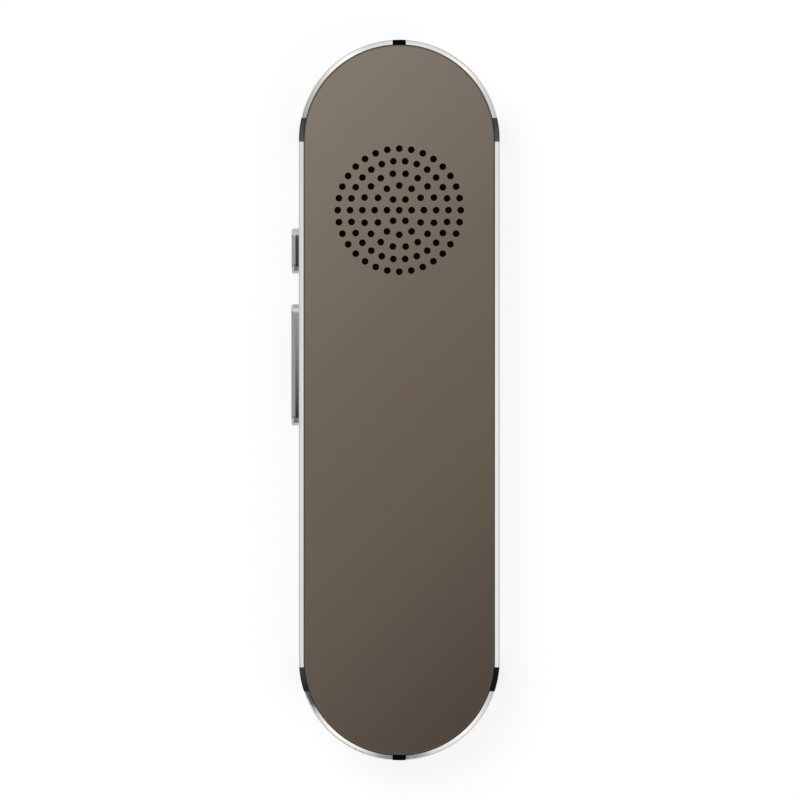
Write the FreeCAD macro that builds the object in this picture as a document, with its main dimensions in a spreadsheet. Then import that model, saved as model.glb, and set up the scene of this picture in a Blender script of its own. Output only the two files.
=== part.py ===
"""A handheld voice translator: a flat stadium-shaped body with a metal rim, a speaker in its
back, two talk keys in its front and two keys in its left side.

Millimetres. The origin lies on the front panel's outer face, at the middle of the body.
X runs across the body, Y along it towards the speaker end, Z from the front to the back.
"""
import FreeCAD, Part

import math
import os
from types import SimpleNamespace

import Sketcher
from FreeCAD import Vector

# Driving sizes, in millimetres, with the counts of the speaker holes at the end
SIZES = {
    # Body, measured from the outline: 201 by 720 parts of the picture
    "body_width": 38.0,
    "body_length": 136.3,
    "body_depth": 11.0,
    # Metal frame
    "rim_wall": 0.9,
    "core_wall": 2.4,
    "rim_edge_radius": 0.35,
    "front_rim_recess": 0.2,
    # How far a cutting shape reaches past the face that it opens
    "cut_reach": 1.0,
    "core_edge_radius": 0.3,
    # Front and back panels
    "panel_gap": 0.08,
    "front_panel_depth": 1.2,
    "front_edge_radius": 0.3,
    "back_panel_depth": 1.0,
    "back_panel_recess": 0.1,
    "back_edge_bevel": 0.12,
    "tape_depth": 0.2,
    "tape_margin": 0.12,
    # Dark blocks let into the rim
    "inlay_seat_gap": 0.1,
    "inlay_end_gap": 0.03,
    "end_inlay_width": 2.5,
    "upper_inlay_start": -0.28,
    "upper_inlay_end": 4.16,
    "lower_inlay_start": 1.4,
    "lower_inlay_end": 5.9,
    # Speaker holes
    "speaker_y": 35.9,
    "hole_radius": 0.655,
    "hole_ring_pitch": 2.327,
    # Level at which side keys and socket sit, from the front face
    "side_level": 5.6,
    # Side keys
    "side_key_height": 3.6,
    "side_key_gap": 0.12,
    "side_key_edge_radius": 0.4,
    "power_key_y": 28.35,
    "power_key_length": 8.6,
    "power_key_proud": 1.45,
    "key_lip": 1.2,
    "flange_margin": 0.8,
    "flange_depth": 0.6,
    "flange_gap": 0.2,
    "key_play": 0.05,
    "rocker_y": 6.7,
    "rocker_length": 23.1,
    "rocker_proud": 1.5,
    "rocker_depth": 3.2,
    "rocker_end_gap": 0.2,
    "rocker_foot_y": 8.5,
    "rocker_foot_height": 0.4,
    "rocker_foot_radius": 0.9,
    "rocker_lug_radius": 0.8,
    "rocker_lug_height": 1.6,
    "lug_gap": 0.1,
    "pin_inset": 3.0,
    "pin_radius": 0.4,
    "pin_gap": 0.05,
    "pin_seat_gap": 0.02,
    # Side switches, their strip and their bracket
    "side_switch_inset": 3.3,
    "side_switch_depth": 1.2,
    "side_switch_width": 3.5,
    "side_switch_height": 2.4,
    "side_plunger_radius": 0.7,
    "side_plunger_engage": 0.4,
    "switch_bore_gap": 0.06,
    "switch_bore_floor": 0.3,
    "plunger_tip_radius": 0.2,
    "flex_depth": 0.15,
    "flex_height": 1.5,
    "flex_tail_width": 3.0,
    "flex_tail_reach": 1.8,
    "bracket_depth": 0.4,
    "bracket_height": 2.6,
    "bracket_end": 0.5,
    "ear_width": 2.4,
    "ear_margin": 0.8,
    "bay_low": -5.0,
    "bay_high": 31.0,
    "bay_inset": 0.25,
    "post_length": 2.0,
    "post_wall": 0.5,
    "post_gap": 0.06,
    "post_height": 2.0,
    # Talk keys
    "own_key_y": -14.0,
    "other_key_y": -34.0,
    "talk_key_radius": 6.5,
    "talk_key_gap": 0.15,
    "talk_key_recess": 0.15,
    "talk_edge_radius": 0.2,
    "talk_flange_radius": 7.3,
    "talk_flange_depth": 0.5,
    "dish_radius": 5.6,
    "dish_depth": 0.35,
    "dot_radius": 0.45,
    "dot_spacing": 1.8,
    "dot_rise": 0.2,
    "talk_switch_width": 6.0,
    "talk_switch_depth": 1.3,
    "talk_plunger_radius": 1.5,
    "talk_plunger_engage": 0.6,
    # Main board and its parts
    "board_level": 3.7,
    "board_depth": 0.8,
    "board_gap": 0.4,
    "board_bay_inset": 5.6,
    "can_low": 10.0,
    "can_high": 34.0,
    "can_side_room": 9.0,
    "can_height": 1.7,
    "can_wall": 0.2,
    "processor_width": 12.0,
    "processor_depth": 1.0,
    "processor_y": 18.0,
    "chip_width": 6.0,
    "chip_length": 5.0,
    "chip_depth": 0.8,
    "chip_y": 29.0,
    "chip_inset": 5.0,
    "outer_chip_y": 42.0,
    # Chassis
    "chassis_depth": 0.8,
    "chassis_gap": 0.2,
    "rib_wall": 0.6,
    "rib_height": 2.0,
    # Screws and their lugs
    "lug_inset": 4.6,
    "lug_angle": 40.0,
    "boss_radius": 2.9,
    "boss_depth": 1.6,
    "screw_radius": 0.8,
    "screw_gap": 0.1,
    "thread_gap": 0.02,
    "head_radius": 1.5,
    "head_depth": 0.7,
    "recess_depth": 0.4,
    "recess_length": 1.6,
    "recess_width": 0.4,
    # Battery
    "battery_side_room": 6.0,
    "battery_low": -40.0,
    "battery_high": 18.0,
    "foam_depth": 0.4,
    "battery_edge_radius": 0.7,
    "battery_gap": 0.1,
    "adhesive_depth": 0.2,
    "adhesive_margin": 2.0,
    "foam_margin": 4.0,
    "protection_half_width": 9.0,
    "protection_length": 3.4,
    "protection_height": 1.7,
    "protection_gap": 0.3,
    "lead_radius": 0.4,
    "lead_spacing": 2.2,
    "lead_room": 0.2,
    "socket_half_width": 3.0,
    "socket_low": -52.0,
    "socket_high": -49.0,
    "socket_height": 1.2,
    "socket_wall": 0.4,
    "plug_gap": 0.08,
    "plug_head_height": 0.9,
    "window_gap": 0.6,
    # Speaker
    "speaker_side_room": 6.0,
    "flange_rise": 0.8,
    "cup_inset": 1.0,
    "cup_wall": 0.6,
    "cup_floor": 0.5,
    "well_gap": 0.1,
    "well_wall": 1.0,
    "cup_lift": 0.2,
    "gasket_depth": 0.5,
    "gasket_width": 0.55,
    "mesh_inset": 0.2,
    "mesh_depth": 0.12,
    "magnet_radius": 4.4,
    "magnet_gap": 0.6,
    "coil_gap": 0.35,
    "coil_wall": 0.45,
    "cone_depth": 0.8,
    "coil_lift": 0.5,
    "cone_skin": 0.2,
    "surround_width": 1.6,
    "surround_rise": 0.35,
    "cone_seat": 0.28,
    "dust_cap_rise": 0.8,
    "contact_radius": 0.7,
    "contact_spacing": 9.0,
    "contact_gap": 0.3,
    # Charging socket
    "usb_half_width": 4.47,
    "usb_half_height": 1.63,
    "usb_length": 7.35,
    "usb_wall": 0.3,
    "usb_inset": 0.25,
    "usb_gap": 0.1,
    "usb_liner": 0.45,
    "usb_bay_gap": 0.13,
    "usb_tab_reach": 1.8,
    "usb_tab_root": 0.5,
    "usb_tab_length": 1.4,
    "usb_tab_depth": 0.3,
    "usb_tab_inset": 3.6,
    "usb_tab_pitch": 2.2,
    "usb_tab_room": 0.5,
    "tongue_half_width": 3.35,
    "tongue_depth": 0.7,
    "tongue_inset": 0.8,
    "usb_base_length": 1.8,
    # Microphones
    "sound_hole_radius": 0.5,
    "mic_half_width": 1.75,
    "mic_length": 2.65,
    "mic_depth": 0.8,
    "boot_wall": 0.6,
    "boot_gap": 0.05,
    "lower_mic_reach": 7.85,
    "upper_mic_gap": 1.2,
    # Status light and aerial
    "light_y": 2.0,
    "light_radius": 1.0,
    "light_gap": 0.03,
    "light_recess": 0.1,
    "light_flange_radius": 1.6,
    "light_flange_depth": 0.4,
    "light_length": 2.7,
    "led_width": 1.6,
    "led_length": 0.8,
    "led_depth": 0.6,
    "aerial_start": 0.85,
    "aerial_end": 10.85,
    "aerial_side_room": 10.0,
    "aerial_depth": 0.15,
    "spring_leaf": 0.2,
    "spring_half_length": 1.5,
    "spring_half_width": 0.75,
    "spring_start": 4.85,
}

# Holes in each ring round the centre hole of the speaker field
RING_HOLES = (6, 12, 18, 26, 32)

doc = FreeCAD.newDocument("handheld_translator")
sheet = doc.addObject("Spreadsheet::Sheet", "Sizes")


class Size:
    """A length: its formula in the sheet's names, and the value that the formula has now."""

    def __init__(self, formula, value):
        self.formula = formula
        self.value = float(value)

    def __add__(self, other):
        other = as_size(other)
        return Size(f"({self.formula} + {other.formula})", self.value + other.value)

    def __sub__(self, other):
        other = as_size(other)
        return Size(f"({self.formula} - {other.formula})", self.value - other.value)

    def __mul__(self, other):
        other = as_size(other)
        return Size(f"({self.formula} * {other.formula})", self.value * other.value)

    def __truediv__(self, other):
        other = as_size(other)
        return Size(f"({self.formula} / {other.formula})", self.value / other.value)

    def __neg__(self):
        return self * -1


def as_size(number):
    """Take a plain number, such as 0 or 2, as a size."""
    if isinstance(number, Size):
        return number
    return Size(f"({number})", number)


def fill_sheet():
    """Write every driving size to the sheet and give its cell the size's name."""
    for row, (name, value) in enumerate(SIZES.items(), 1):
        sheet.set(f"A{row}", name)
        sheet.set(f"B{row}", str(value))
        sheet.setAlias(f"B{row}", name)
    for ring, count in enumerate(RING_HOLES, 1):
        row = len(SIZES) + ring
        sheet.set(f"A{row}", f"holes_in_ring_{ring}")
        sheet.set(f"B{row}", str(count))
        sheet.setAlias(f"B{row}", f"holes_in_ring_{ring}")
    doc.recompute()


fill_sheet()
mm = SimpleNamespace(**{name: Size(f"Sizes.{name}", value) for name, value in SIZES.items()})

# Sizes worked out from the driving sizes
half_width = mm.body_width / 2
arc_y = (mm.body_length - mm.body_width) / 2
end_y = mm.body_length / 2
core_half = half_width - mm.core_wall
lip_half = half_width - mm.rim_wall
panel_half = lip_half - mm.panel_gap
front_inner = mm.front_panel_depth
front_ledge = front_inner + mm.tape_depth
back_outer = mm.body_depth - mm.back_panel_recess
back_inner = back_outer - mm.back_panel_depth
back_ledge = back_inner - mm.tape_depth
board_back = mm.board_level + mm.board_depth
chassis_back = board_back + mm.chassis_depth
past = mm.cut_reach
clear_of_body = half_width + past
lug_distance = half_width - mm.lug_inset
battery_half = half_width - mm.battery_side_room
battery_back = back_inner - mm.foam_depth
speaker_radius = half_width - mm.speaker_side_room
cup_radius = speaker_radius - mm.cup_inset
mesh_radius = speaker_radius - mm.mesh_inset
can_half = half_width - mm.can_side_room
chip_x = can_half - mm.chip_inset
aerial_half = half_width - mm.aerial_side_room
aerial_low = arc_y + mm.aerial_start
aerial_high = arc_y + mm.aerial_end
spring_y = arc_y + mm.spring_start
lower_mic_y = -arc_y - mm.lower_mic_reach

PLANES = ("XY_Plane", "XZ_Plane", "YZ_Plane")
FLAT, UPRIGHT, SIDEWAYS = PLANES

parts = []


def keep(thing, label):
    """Give a finished piece its label and put it on the list of sub-parts."""
    thing.Label = label
    parts.append(thing)
    return thing


def new_body(label):
    """Start a body, which is kept as a sub-part only once keep() is called on it."""
    return doc.addObject("PartDesign::Body", label)


def bind(thing, path, size):
    """Bind one property to a size's formula."""
    thing.setExpression(path, as_size(size).formula)


def place(thing, x=0, y=0, z=0):
    """Bind an object's place to sizes."""
    bind(thing, "Placement.Base.x", x)
    bind(thing, "Placement.Base.y", y)
    bind(thing, "Placement.Base.z", z)
    return thing


def fix(sketch, kind, places, size):
    """Add one dimension to a sketch and bind it to a size."""
    size = as_size(size)
    index = sketch.addConstraint(Sketcher.Constraint(kind, *places, size.value))
    if "Sizes." in size.formula:
        sketch.setExpression(f"Constraints[{index}]", size.formula)


def fix_point(sketch, geometry, end, x, y):
    """Fix one point of a sketch's geometry by its distances from the sketch's origin."""
    fix(sketch, "DistanceX", (-1, 1, geometry, end), x)
    fix(sketch, "DistanceY", (-1, 1, geometry, end), y)


def circle(x, y, radius):
    """A circle, for drawing in a sketch."""
    x, y, radius = as_size(x), as_size(y), as_size(radius)

    def draw(sketch):
        centre = Vector(x.value, y.value, 0)
        index = sketch.addGeometry(Part.Circle(centre, Vector(0, 0, 1), radius.value), False)
        fix_point(sketch, index, 3, x, y)
        fix(sketch, "Radius", (index,), radius)

    return draw


def polygon(*points):
    """A closed outline of straight lines, every corner of which is bound to sizes."""
    points = [(as_size(x), as_size(y)) for x, y in points]

    def draw(sketch):
        corners = [Vector(x.value, y.value, 0) for x, y in points]
        lines = []
        for start, end in zip(corners, corners[1:] + corners[:1]):
            lines.append(sketch.addGeometry(Part.LineSegment(start, end), False))
        for line, following in zip(lines, lines[1:] + lines[:1]):
            sketch.addConstraint(Sketcher.Constraint("Coincident", line, 2, following, 1))
        for line, (x, y) in zip(lines, points):
            fix_point(sketch, line, 1, x, y)

    return draw


def rectangle(low_x, low_y, high_x, high_y):
    """A rectangle between two corners."""
    return polygon((low_x, low_y), (high_x, low_y), (high_x, high_y), (low_x, high_y))


def stadium(x, y, reach, radius, lying=False):
    """A stadium round (x, y): two arcs whose centres lie reach away from it on either side."""
    x, y, reach, radius = as_size(x), as_size(y), as_size(reach), as_size(radius)
    turn = -math.pi / 2 if lying else 0.0
    centres = ((x + reach, y), (x - reach, y)) if lying else ((x, y + reach), (x, y - reach))

    def draw(sketch):
        arcs = []
        for number, (cx, cy) in enumerate(centres):
            round_end = Part.Circle(Vector(cx.value, cy.value, 0), Vector(0, 0, 1), radius.value)
            start = turn + number * math.pi
            arcs.append(Part.ArcOfCircle(round_end, start, start + math.pi))
        first, second = arcs
        chain = [first, Part.LineSegment(first.EndPoint, second.StartPoint)]
        chain += [second, Part.LineSegment(second.EndPoint, first.StartPoint)]
        made = [sketch.addGeometry(piece, False) for piece in chain]
        for piece, following in zip(made, made[1:] + made[:1]):
            sketch.addConstraint(Sketcher.Constraint("Tangent", piece, 2, following, 1))
        sketch.addConstraint(Sketcher.Constraint("Equal", made[0], made[2]))
        for arc, (cx, cy) in zip((made[0], made[2]), centres):
            fix_point(sketch, arc, 3, cx, cy)
        fix(sketch, "Radius", (made[0],), radius)

    return draw


def body_outline(radius):
    """The outline of the whole device, or one drawn in from it, with ends of this radius."""
    return stadium(0, 0, arc_y, radius)


def sketch_at(body, plane, low, high, shapes):
    """Draw shapes on one of the body's planes, at the end from which the plane's normal runs
    through the span from low to high. The normal of the upright plane points along -Y."""
    support = [face for face in body.Origin.OriginFeatures if face.Role == plane][0]
    sketch = body.newObject("Sketcher::SketchObject", "Sketch")
    sketch.AttachmentSupport = [(support, "")]
    sketch.MapMode = "FlatFace"
    start = -as_size(high) if plane == UPRIGHT else as_size(low)
    bind(sketch, "AttachmentOffset.Base.z", start)
    for draw in shapes:
        draw(sketch)
    return sketch


def add(body, plane, low, high, *shapes):
    """Add what the shapes enclose, between two levels along the plane's axis."""
    sketch = sketch_at(body, plane, low, high, shapes)
    pad = body.newObject("PartDesign::Pad", "Pad")
    pad.Profile = sketch
    bind(pad, "Length", as_size(high) - low)
    return pad


def cut(body, plane, low, high, *shapes):
    """Cut what the shapes enclose, between two levels along the plane's axis."""
    sketch = sketch_at(body, plane, low, high, shapes)
    pocket = body.newObject("PartDesign::Pocket", "Pocket")
    pocket.Profile = sketch
    pocket.Reversed = True
    bind(pocket, "Length", as_size(high) - low)
    return pocket


def turn(body, *outline):
    """Turn an outline, given as (distance from the axis, level), round the body's Z axis."""
    sketch = sketch_at(body, UPRIGHT, 0, 0, [polygon(*outline)])
    revolution = body.newObject("PartDesign::Revolution", "Revolution")
    revolution.Profile = sketch
    revolution.ReferenceAxis = (sketch, ["V_Axis"])
    revolution.Angle = 360
    return revolution


def soften(body, radius, chosen, kind="PartDesign::Fillet"):
    """Round, or bevel, the edges of the body that chosen() picks by their bounding box."""
    doc.recompute()
    base = body.Tip
    names = []
    for number, edge in enumerate(base.Shape.Edges, 1):
        if chosen(edge.BoundBox):
            names.append(f"Edge{number}")
    feature = body.newObject(kind, "Edges")
    feature.Base = (base, names)
    bind(feature, "Size" if kind.endswith("Chamfer") else "Radius", radius)
    return feature


def near(one, other):
    return abs(one - as_size(other).value) < 1e-4


def lies_at(level, axis="Z"):
    """Pick the edges that lie flat at one level along an axis."""

    def chosen(box):
        low, high = getattr(box, f"{axis}Min"), getattr(box, f"{axis}Max")
        return near(low, level) and near(high, level)

    return chosen


def block(label, low, high, edge_radius=None):
    """A plain block between two corners, with all of its edges rounded if a radius is given."""
    body = new_body(label)
    add(body, FLAT, low[2], high[2], rectangle(low[0], low[1], high[0], high[1]))
    if edge_radius is not None:
        soften(body, edge_radius, lambda box: True)
    return body


def joined(kind, label, *pieces):
    """Join finished objects: Part::Cut of two, or Part::MultiFuse and Part::Compound of any."""
    result = doc.addObject(kind, label)
    if kind in ("Part::Cut", "Part::Common"):
        result.Base, result.Tool = pieces
    elif kind == "Part::Compound":
        result.Links = list(pieces)
    else:
        result.Shapes = list(pieces)
    return result


def cosine(angle):
    return Size(f"cos({angle.formula})", math.cos(math.radians(angle.value)))


def sine(angle):
    return Size(f"sin({angle.formula})", math.sin(math.radians(angle.value)))


def root(size):
    return Size(f"sqrt({size.formula})", math.sqrt(size.value))


# Places of the four screws, near the ends of the body
screw_x = lug_distance * cosine(mm.lug_angle)
screw_y = arc_y + lug_distance * sine(mm.lug_angle)
screw_places = [(screw_x * across, screw_y * along) for across in (-1, 1) for along in (-1, 1)]


def circles_at(places, radius):
    return [circle(x, y, radius) for x, y in places]


# Charging socket's places
usb_mouth = -end_y + mm.usb_inset
usb_back = usb_mouth + mm.usb_length


def usb_outline(grow):
    """The socket's outline in the upright plane, grown outwards."""
    radius = mm.usb_half_height + grow
    reach = mm.usb_half_width - mm.usb_half_height
    return stadium(0, mm.side_level, reach, radius, lying=True)


# Frame and the dark blocks in its rim

def rim_ring(label, depth, cutter=False):
    """A ring as deep as a block of the rim; a cutter's ring reaches outside the body."""
    body = new_body(label)
    inner = body_outline(half_width - depth)
    if cutter:
        add(body, FLAT, -past, mm.body_depth + past, body_outline(clear_of_body), inner)
    else:
        add(body, FLAT, mm.front_rim_recess, mm.body_depth, body_outline(half_width), inner)
        soften(body, mm.rim_edge_radius, outer_rim_edge)
    return body


def rim_block(label, ring, across, along):
    """A block of the rim: what a ring holds within two spans, across X and along Y."""
    low = (across[0], along[0], -past * 2)
    high = (across[1], along[1], mm.body_depth + past * 2)
    return joined("Part::Common", label, ring, block(f"{label}_span", low, high))


def outer_rim_edge(box):
    """Pick the edges of the rim's outer corners, at the front and at the back."""
    flat = near(box.ZMin, box.ZMax)
    level = near(box.ZMin, mm.front_rim_recess) or near(box.ZMin, mm.body_depth)
    outside = max(abs(box.XMin), abs(box.XMax)) > half_width.value - 1e-3
    return flat and level and outside


def side_spans(side, start, end, grow):
    """Spans of a block at one side: side is -1 or 1, and start and end are signed levels."""
    inner = core_half * side
    outer = (clear_of_body + past) * side
    across = (inner, outer) if side > 0 else (outer, inner)
    low, high = (start, end) if end.value > start.value else (end, start)
    return across, (low - grow, high + grow)


def end_spans(end, half, grow):
    """Spans of a block in the middle of one end: end is -1 or 1."""
    far = end_y + past * 2
    along = (arc_y, far) if end > 0 else (-far, -arc_y)
    return (-half - grow, half + grow), along


def side_inlay_spans(grow):
    """Names and spans of the four blocks in the sides of the rim."""
    spans = {}
    for name, side in (("left", -1), ("right", 1)):
        upper = (arc_y + mm.upper_inlay_start, arc_y + mm.upper_inlay_end)
        lower = (-arc_y - mm.lower_inlay_start, -arc_y - mm.lower_inlay_end)
        spans[f"frame_inlay_upper_{name}"] = side_spans(side, *upper, grow)
        spans[f"frame_inlay_lower_{name}"] = side_spans(side, *lower, grow)
    return spans


def bottom_stripe(label, ring, grow):
    """The block at the bottom end: a stripe that widens into a liner round the socket."""
    half = mm.end_inlay_width / 2
    liner = mm.usb_gap + mm.usb_liner + grow
    stripe = new_body(f"{label}_stripe")
    start = -end_y - past * 2
    bar = rectangle(-half - grow, -past * 2, half + grow, mm.body_depth + past * 2)
    add(stripe, UPRIGHT, start, -arc_y, bar)
    add(stripe, UPRIGHT, start, -arc_y, usb_outline(liner))
    return joined("Part::Common", label, ring, stripe)


def side_frame():
    """The closed metal ring, with its ledges, lugs, seats for the dark blocks and openings."""
    body = new_body("frame_ring")
    low, high = mm.front_rim_recess, mm.body_depth
    add(body, FLAT, low, high, body_outline(half_width), body_outline(core_half))
    soften(body, mm.rim_edge_radius, outer_rim_edge)
    cut(body, FLAT, low, front_ledge, body_outline(lip_half))
    cut(body, FLAT, back_ledge, high, body_outline(lip_half))
    lug_high = chassis_back + mm.boss_depth
    add(body, FLAT, chassis_back, lug_high, *circles_at(screw_places, mm.boss_radius))
    thread = mm.screw_radius + mm.thread_gap
    cut(body, FLAT, chassis_back, lug_high, *circles_at(screw_places, thread))
    side_key_openings(body)
    cut(body, UPRIGHT, -end_y - past, -arc_y - mm.core_edge_radius, usb_outline(mm.usb_gap))
    cut(body, UPRIGHT, arc_y, end_y + past, circle(0, mm.side_level, mm.sound_hole_radius))

    ring = rim_ring("inlay_seat_ring", mm.rim_wall + mm.inlay_seat_gap, cutter=True)
    seats = []
    for name, spans in side_inlay_spans(mm.inlay_end_gap).items():
        seats.append(rim_block(f"{name}_seat", ring, *spans))
    top_spans = end_spans(1, mm.end_inlay_width / 2, mm.inlay_end_gap)
    seats.append(rim_block("frame_inlay_top_seat", ring, *top_spans))
    seats.append(bottom_stripe("frame_inlay_bottom_seat", ring, mm.inlay_end_gap))
    cutter = joined("Part::MultiFuse", "inlay_seats", *seats)
    keep(joined("Part::Cut", "side_frame", body, cutter), "side_frame")


def key_slot(y, length, gap_along, gap_across):
    """Outline of a side key, or of its slot, in the sideways plane."""
    radius = mm.side_key_height / 2 + gap_across
    reach = (length - mm.side_key_height) / 2 + gap_along - gap_across
    return stadium(y, mm.side_level, reach, radius, lying=True)


def side_key_openings(body):
    """Slot and inner pocket of the power key, and the slot of the volume rocker."""
    outside = -half_width - past
    inside = -core_half + past
    gap = mm.side_key_gap
    lip = -half_width + mm.key_lip
    cut(body, SIDEWAYS, outside, lip, key_slot(mm.power_key_y, mm.power_key_length, gap, gap))
    room = mm.flange_margin + mm.flange_gap
    cut(body, SIDEWAYS, lip, inside, key_slot(mm.power_key_y, mm.power_key_length, room, room))
    rocker = key_slot(mm.rocker_y, mm.rocker_length, mm.rocker_end_gap, gap)
    cut(body, SIDEWAYS, outside, inside, rocker)


def frame_inlays():
    """The six dark blocks."""
    ring = rim_ring("inlay_ring", mm.rim_wall)
    for name, spans in side_inlay_spans(0).items():
        keep(rim_block(name, ring, *spans), name)
    top = rim_block("top_block", ring, *end_spans(1, mm.end_inlay_width / 2, 0))
    duct = new_body("top_block_duct")
    add(duct, UPRIGHT, arc_y, end_y + past, circle(0, mm.side_level, mm.sound_hole_radius))
    keep(joined("Part::Cut", "frame_inlay_top", top, duct), "frame_inlay_top")
    stripe = bottom_stripe("bottom_block", ring, as_size(0))
    mouth = new_body("socket_mouth")
    add(mouth, UPRIGHT, -end_y - past, -arc_y, usb_outline(mm.usb_gap))
    keep(joined("Part::Cut", "frame_inlay_bottom", stripe, mouth), "frame_inlay_bottom")


# Panels

def speaker_holes(body):
    """The centre hole and five rings of holes through the back panel."""
    low, high = back_inner - past, back_outer + past
    cut(body, FLAT, low, high, circle(0, mm.speaker_y, mm.hole_radius))
    for ring in range(1, len(RING_HOLES) + 1):
        first = circle(mm.hole_ring_pitch * ring, 0, mm.hole_radius)
        pocket = cut(body, FLAT, low, high, first)
        sketch = pocket.Profile[0]
        bind(sketch, "AttachmentOffset.Base.y", mm.speaker_y)
        doc.recompute()
        pattern = body.newObject("PartDesign::PolarPattern", "Ring")
        pattern.Originals = [pocket]
        pattern.Axis = (sketch, ["N_Axis"])
        pattern.Angle = 360
        pattern.setExpression("Occurrences", f"Sizes.holes_in_ring_{ring}")
        body.Tip = pattern


def back_panel():
    body = new_body("back_panel")
    add(body, FLAT, back_inner, back_outer, body_outline(panel_half))
    soften(body, mm.back_edge_bevel, lies_at(back_outer), "PartDesign::Chamfer")
    speaker_holes(body)
    keep(body, "back_panel")


def talk_key_places():
    return {"own_language": mm.own_key_y, "other_language": mm.other_key_y}


def front_panel():
    body = new_body("front_panel")
    add(body, FLAT, 0, front_inner, body_outline(panel_half))
    soften(body, mm.front_edge_radius, lies_at(0))
    keys = [circle(0, y, mm.talk_key_radius + mm.talk_key_gap) for y in talk_key_places().values()]
    cut(body, FLAT, -past, front_inner + past, *keys)
    light = circle(0, mm.light_y, mm.light_radius + mm.light_gap)
    cut(body, FLAT, -past, front_inner + past, light)
    cut(body, FLAT, -past, front_inner + past, circle(0, lower_mic_y, mm.sound_hole_radius))
    keep(body, "front_panel")


def panel_tapes():
    """The adhesive rings between each panel and the frame's ledge."""
    outer = body_outline(panel_half - mm.tape_margin)
    inner = body_outline(core_half + mm.tape_margin)
    for label, low, high in (
        ("front_panel_tape", front_inner, front_ledge),
        ("back_panel_tape", back_ledge, back_inner),
    ):
        body = new_body(label)
        add(body, FLAT, low, high, outer, inner)
        keep(body, label)


# Chassis, board and screws

bracket_outer = -half_width + mm.side_switch_inset + mm.side_switch_depth + mm.flex_depth
bracket_inner = bracket_outer + mm.bracket_depth
cup_bottom = chassis_back + mm.cup_lift
basket_top = back_inner - mm.mesh_depth - mm.gasket_depth
flange_bottom = basket_top - mm.flange_rise
protection_low = mm.battery_low - mm.protection_gap - mm.protection_length
lead_level = chassis_back + mm.protection_height / 2


def chassis():
    body = new_body("chassis")
    add(body, FLAT, board_back, chassis_back, body_outline(core_half - mm.chassis_gap))
    well = cup_radius + mm.well_gap
    seat = speaker_radius + mm.well_gap
    outer = circle(0, mm.speaker_y, seat + mm.well_wall)
    add(body, FLAT, chassis_back, basket_top, outer, circle(0, mm.speaker_y, well))
    cut(body, FLAT, flange_bottom, basket_top, circle(0, mm.speaker_y, seat))
    inner_half = battery_half + mm.battery_gap
    rib_low = protection_low - mm.battery_gap
    rib_high = mm.battery_high + mm.battery_gap
    wall = mm.rib_wall
    rib_top = chassis_back + mm.rib_height
    ribs = rectangle(-inner_half - wall, rib_low - wall, inner_half + wall, rib_high + wall)
    hollow = rectangle(-inner_half, rib_low, inner_half, rib_high)
    add(body, FLAT, chassis_back, rib_top, ribs, hollow)
    bracket_posts(body)
    bay = bracket_inner + mm.bay_inset
    cut(body, FLAT, board_back, chassis_back, rectangle(-half_width, mm.bay_low, bay, mm.bay_high))
    lead_gate = mm.lead_spacing + mm.lead_radius
    gate_low = lead_level - mm.lead_radius - mm.lead_room
    gate = rectangle(-lead_gate, gate_low, lead_gate, rib_top + past)
    cut(body, UPRIGHT, rib_low - wall - past, rib_low + past, gate)
    room = mm.window_gap
    socket = rectangle(
        -mm.socket_half_width - room,
        mm.socket_low - room,
        mm.socket_half_width + room,
        mm.socket_high + room,
    )
    cut(body, FLAT, board_back, chassis_back, socket)
    usb_half = mm.usb_half_width + mm.usb_tab_reach + mm.usb_tab_room
    usb_high = usb_back + mm.usb_tab_room
    cut(body, FLAT, board_back, chassis_back, rectangle(-usb_half, -end_y, usb_half, usb_high))
    boot_low = upper_mic_low - mm.boot_wall - mm.boot_gap
    boot_room = boot_half + mm.boot_gap
    cut(body, FLAT, board_back, chassis_back, rectangle(-boot_room, boot_low, boot_room, end_y))
    contacts = circles_at(contact_places(), mm.contact_radius + mm.contact_gap)
    cut(body, FLAT, board_back, chassis_back, *contacts)
    cut(body, FLAT, board_back, chassis_back, *circles_at(screw_places, mm.screw_radius + mm.screw_gap))
    keep(body, "chassis")


def bracket_posts(body):
    """Two posts beside the side keys' bay, slotted for the ends of the key bracket."""
    low_x = bracket_outer - mm.post_gap - mm.post_wall
    high_x = bracket_inner + mm.post_gap + mm.post_wall
    top = chassis_back + mm.post_height
    spans = (
        (mm.bay_low - mm.post_length, mm.bay_low, mm.bay_low - mm.bracket_end - mm.post_gap, mm.bay_low),
        (mm.bay_high, mm.bay_high + mm.post_length, mm.bay_high, mm.bay_high + mm.bracket_end + mm.post_gap),
    )
    for low, high, slot_low, slot_high in spans:
        add(body, FLAT, chassis_back, top, rectangle(low_x, low, high_x, high))
        slot_x = (bracket_outer - mm.post_gap, bracket_inner + mm.post_gap)
        cut(body, FLAT, board_back, top, rectangle(slot_x[0], slot_low, slot_x[1], slot_high))


def main_board():
    body = new_body("main_board")
    low, high = mm.board_level, board_back
    add(body, FLAT, low, high, body_outline(core_half - mm.board_gap))
    bay = -half_width + mm.board_bay_inset
    cut(body, FLAT, low, high, rectangle(-half_width, mm.bay_low, bay, mm.bay_high))
    usb_half = mm.usb_half_width + mm.usb_bay_gap
    cut(body, FLAT, low, high, rectangle(-usb_half, -end_y, usb_half, usb_back + mm.usb_bay_gap))
    cut(body, FLAT, low, high, *circles_at(screw_places, mm.screw_radius + mm.screw_gap))
    keep(body, "main_board")


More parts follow.
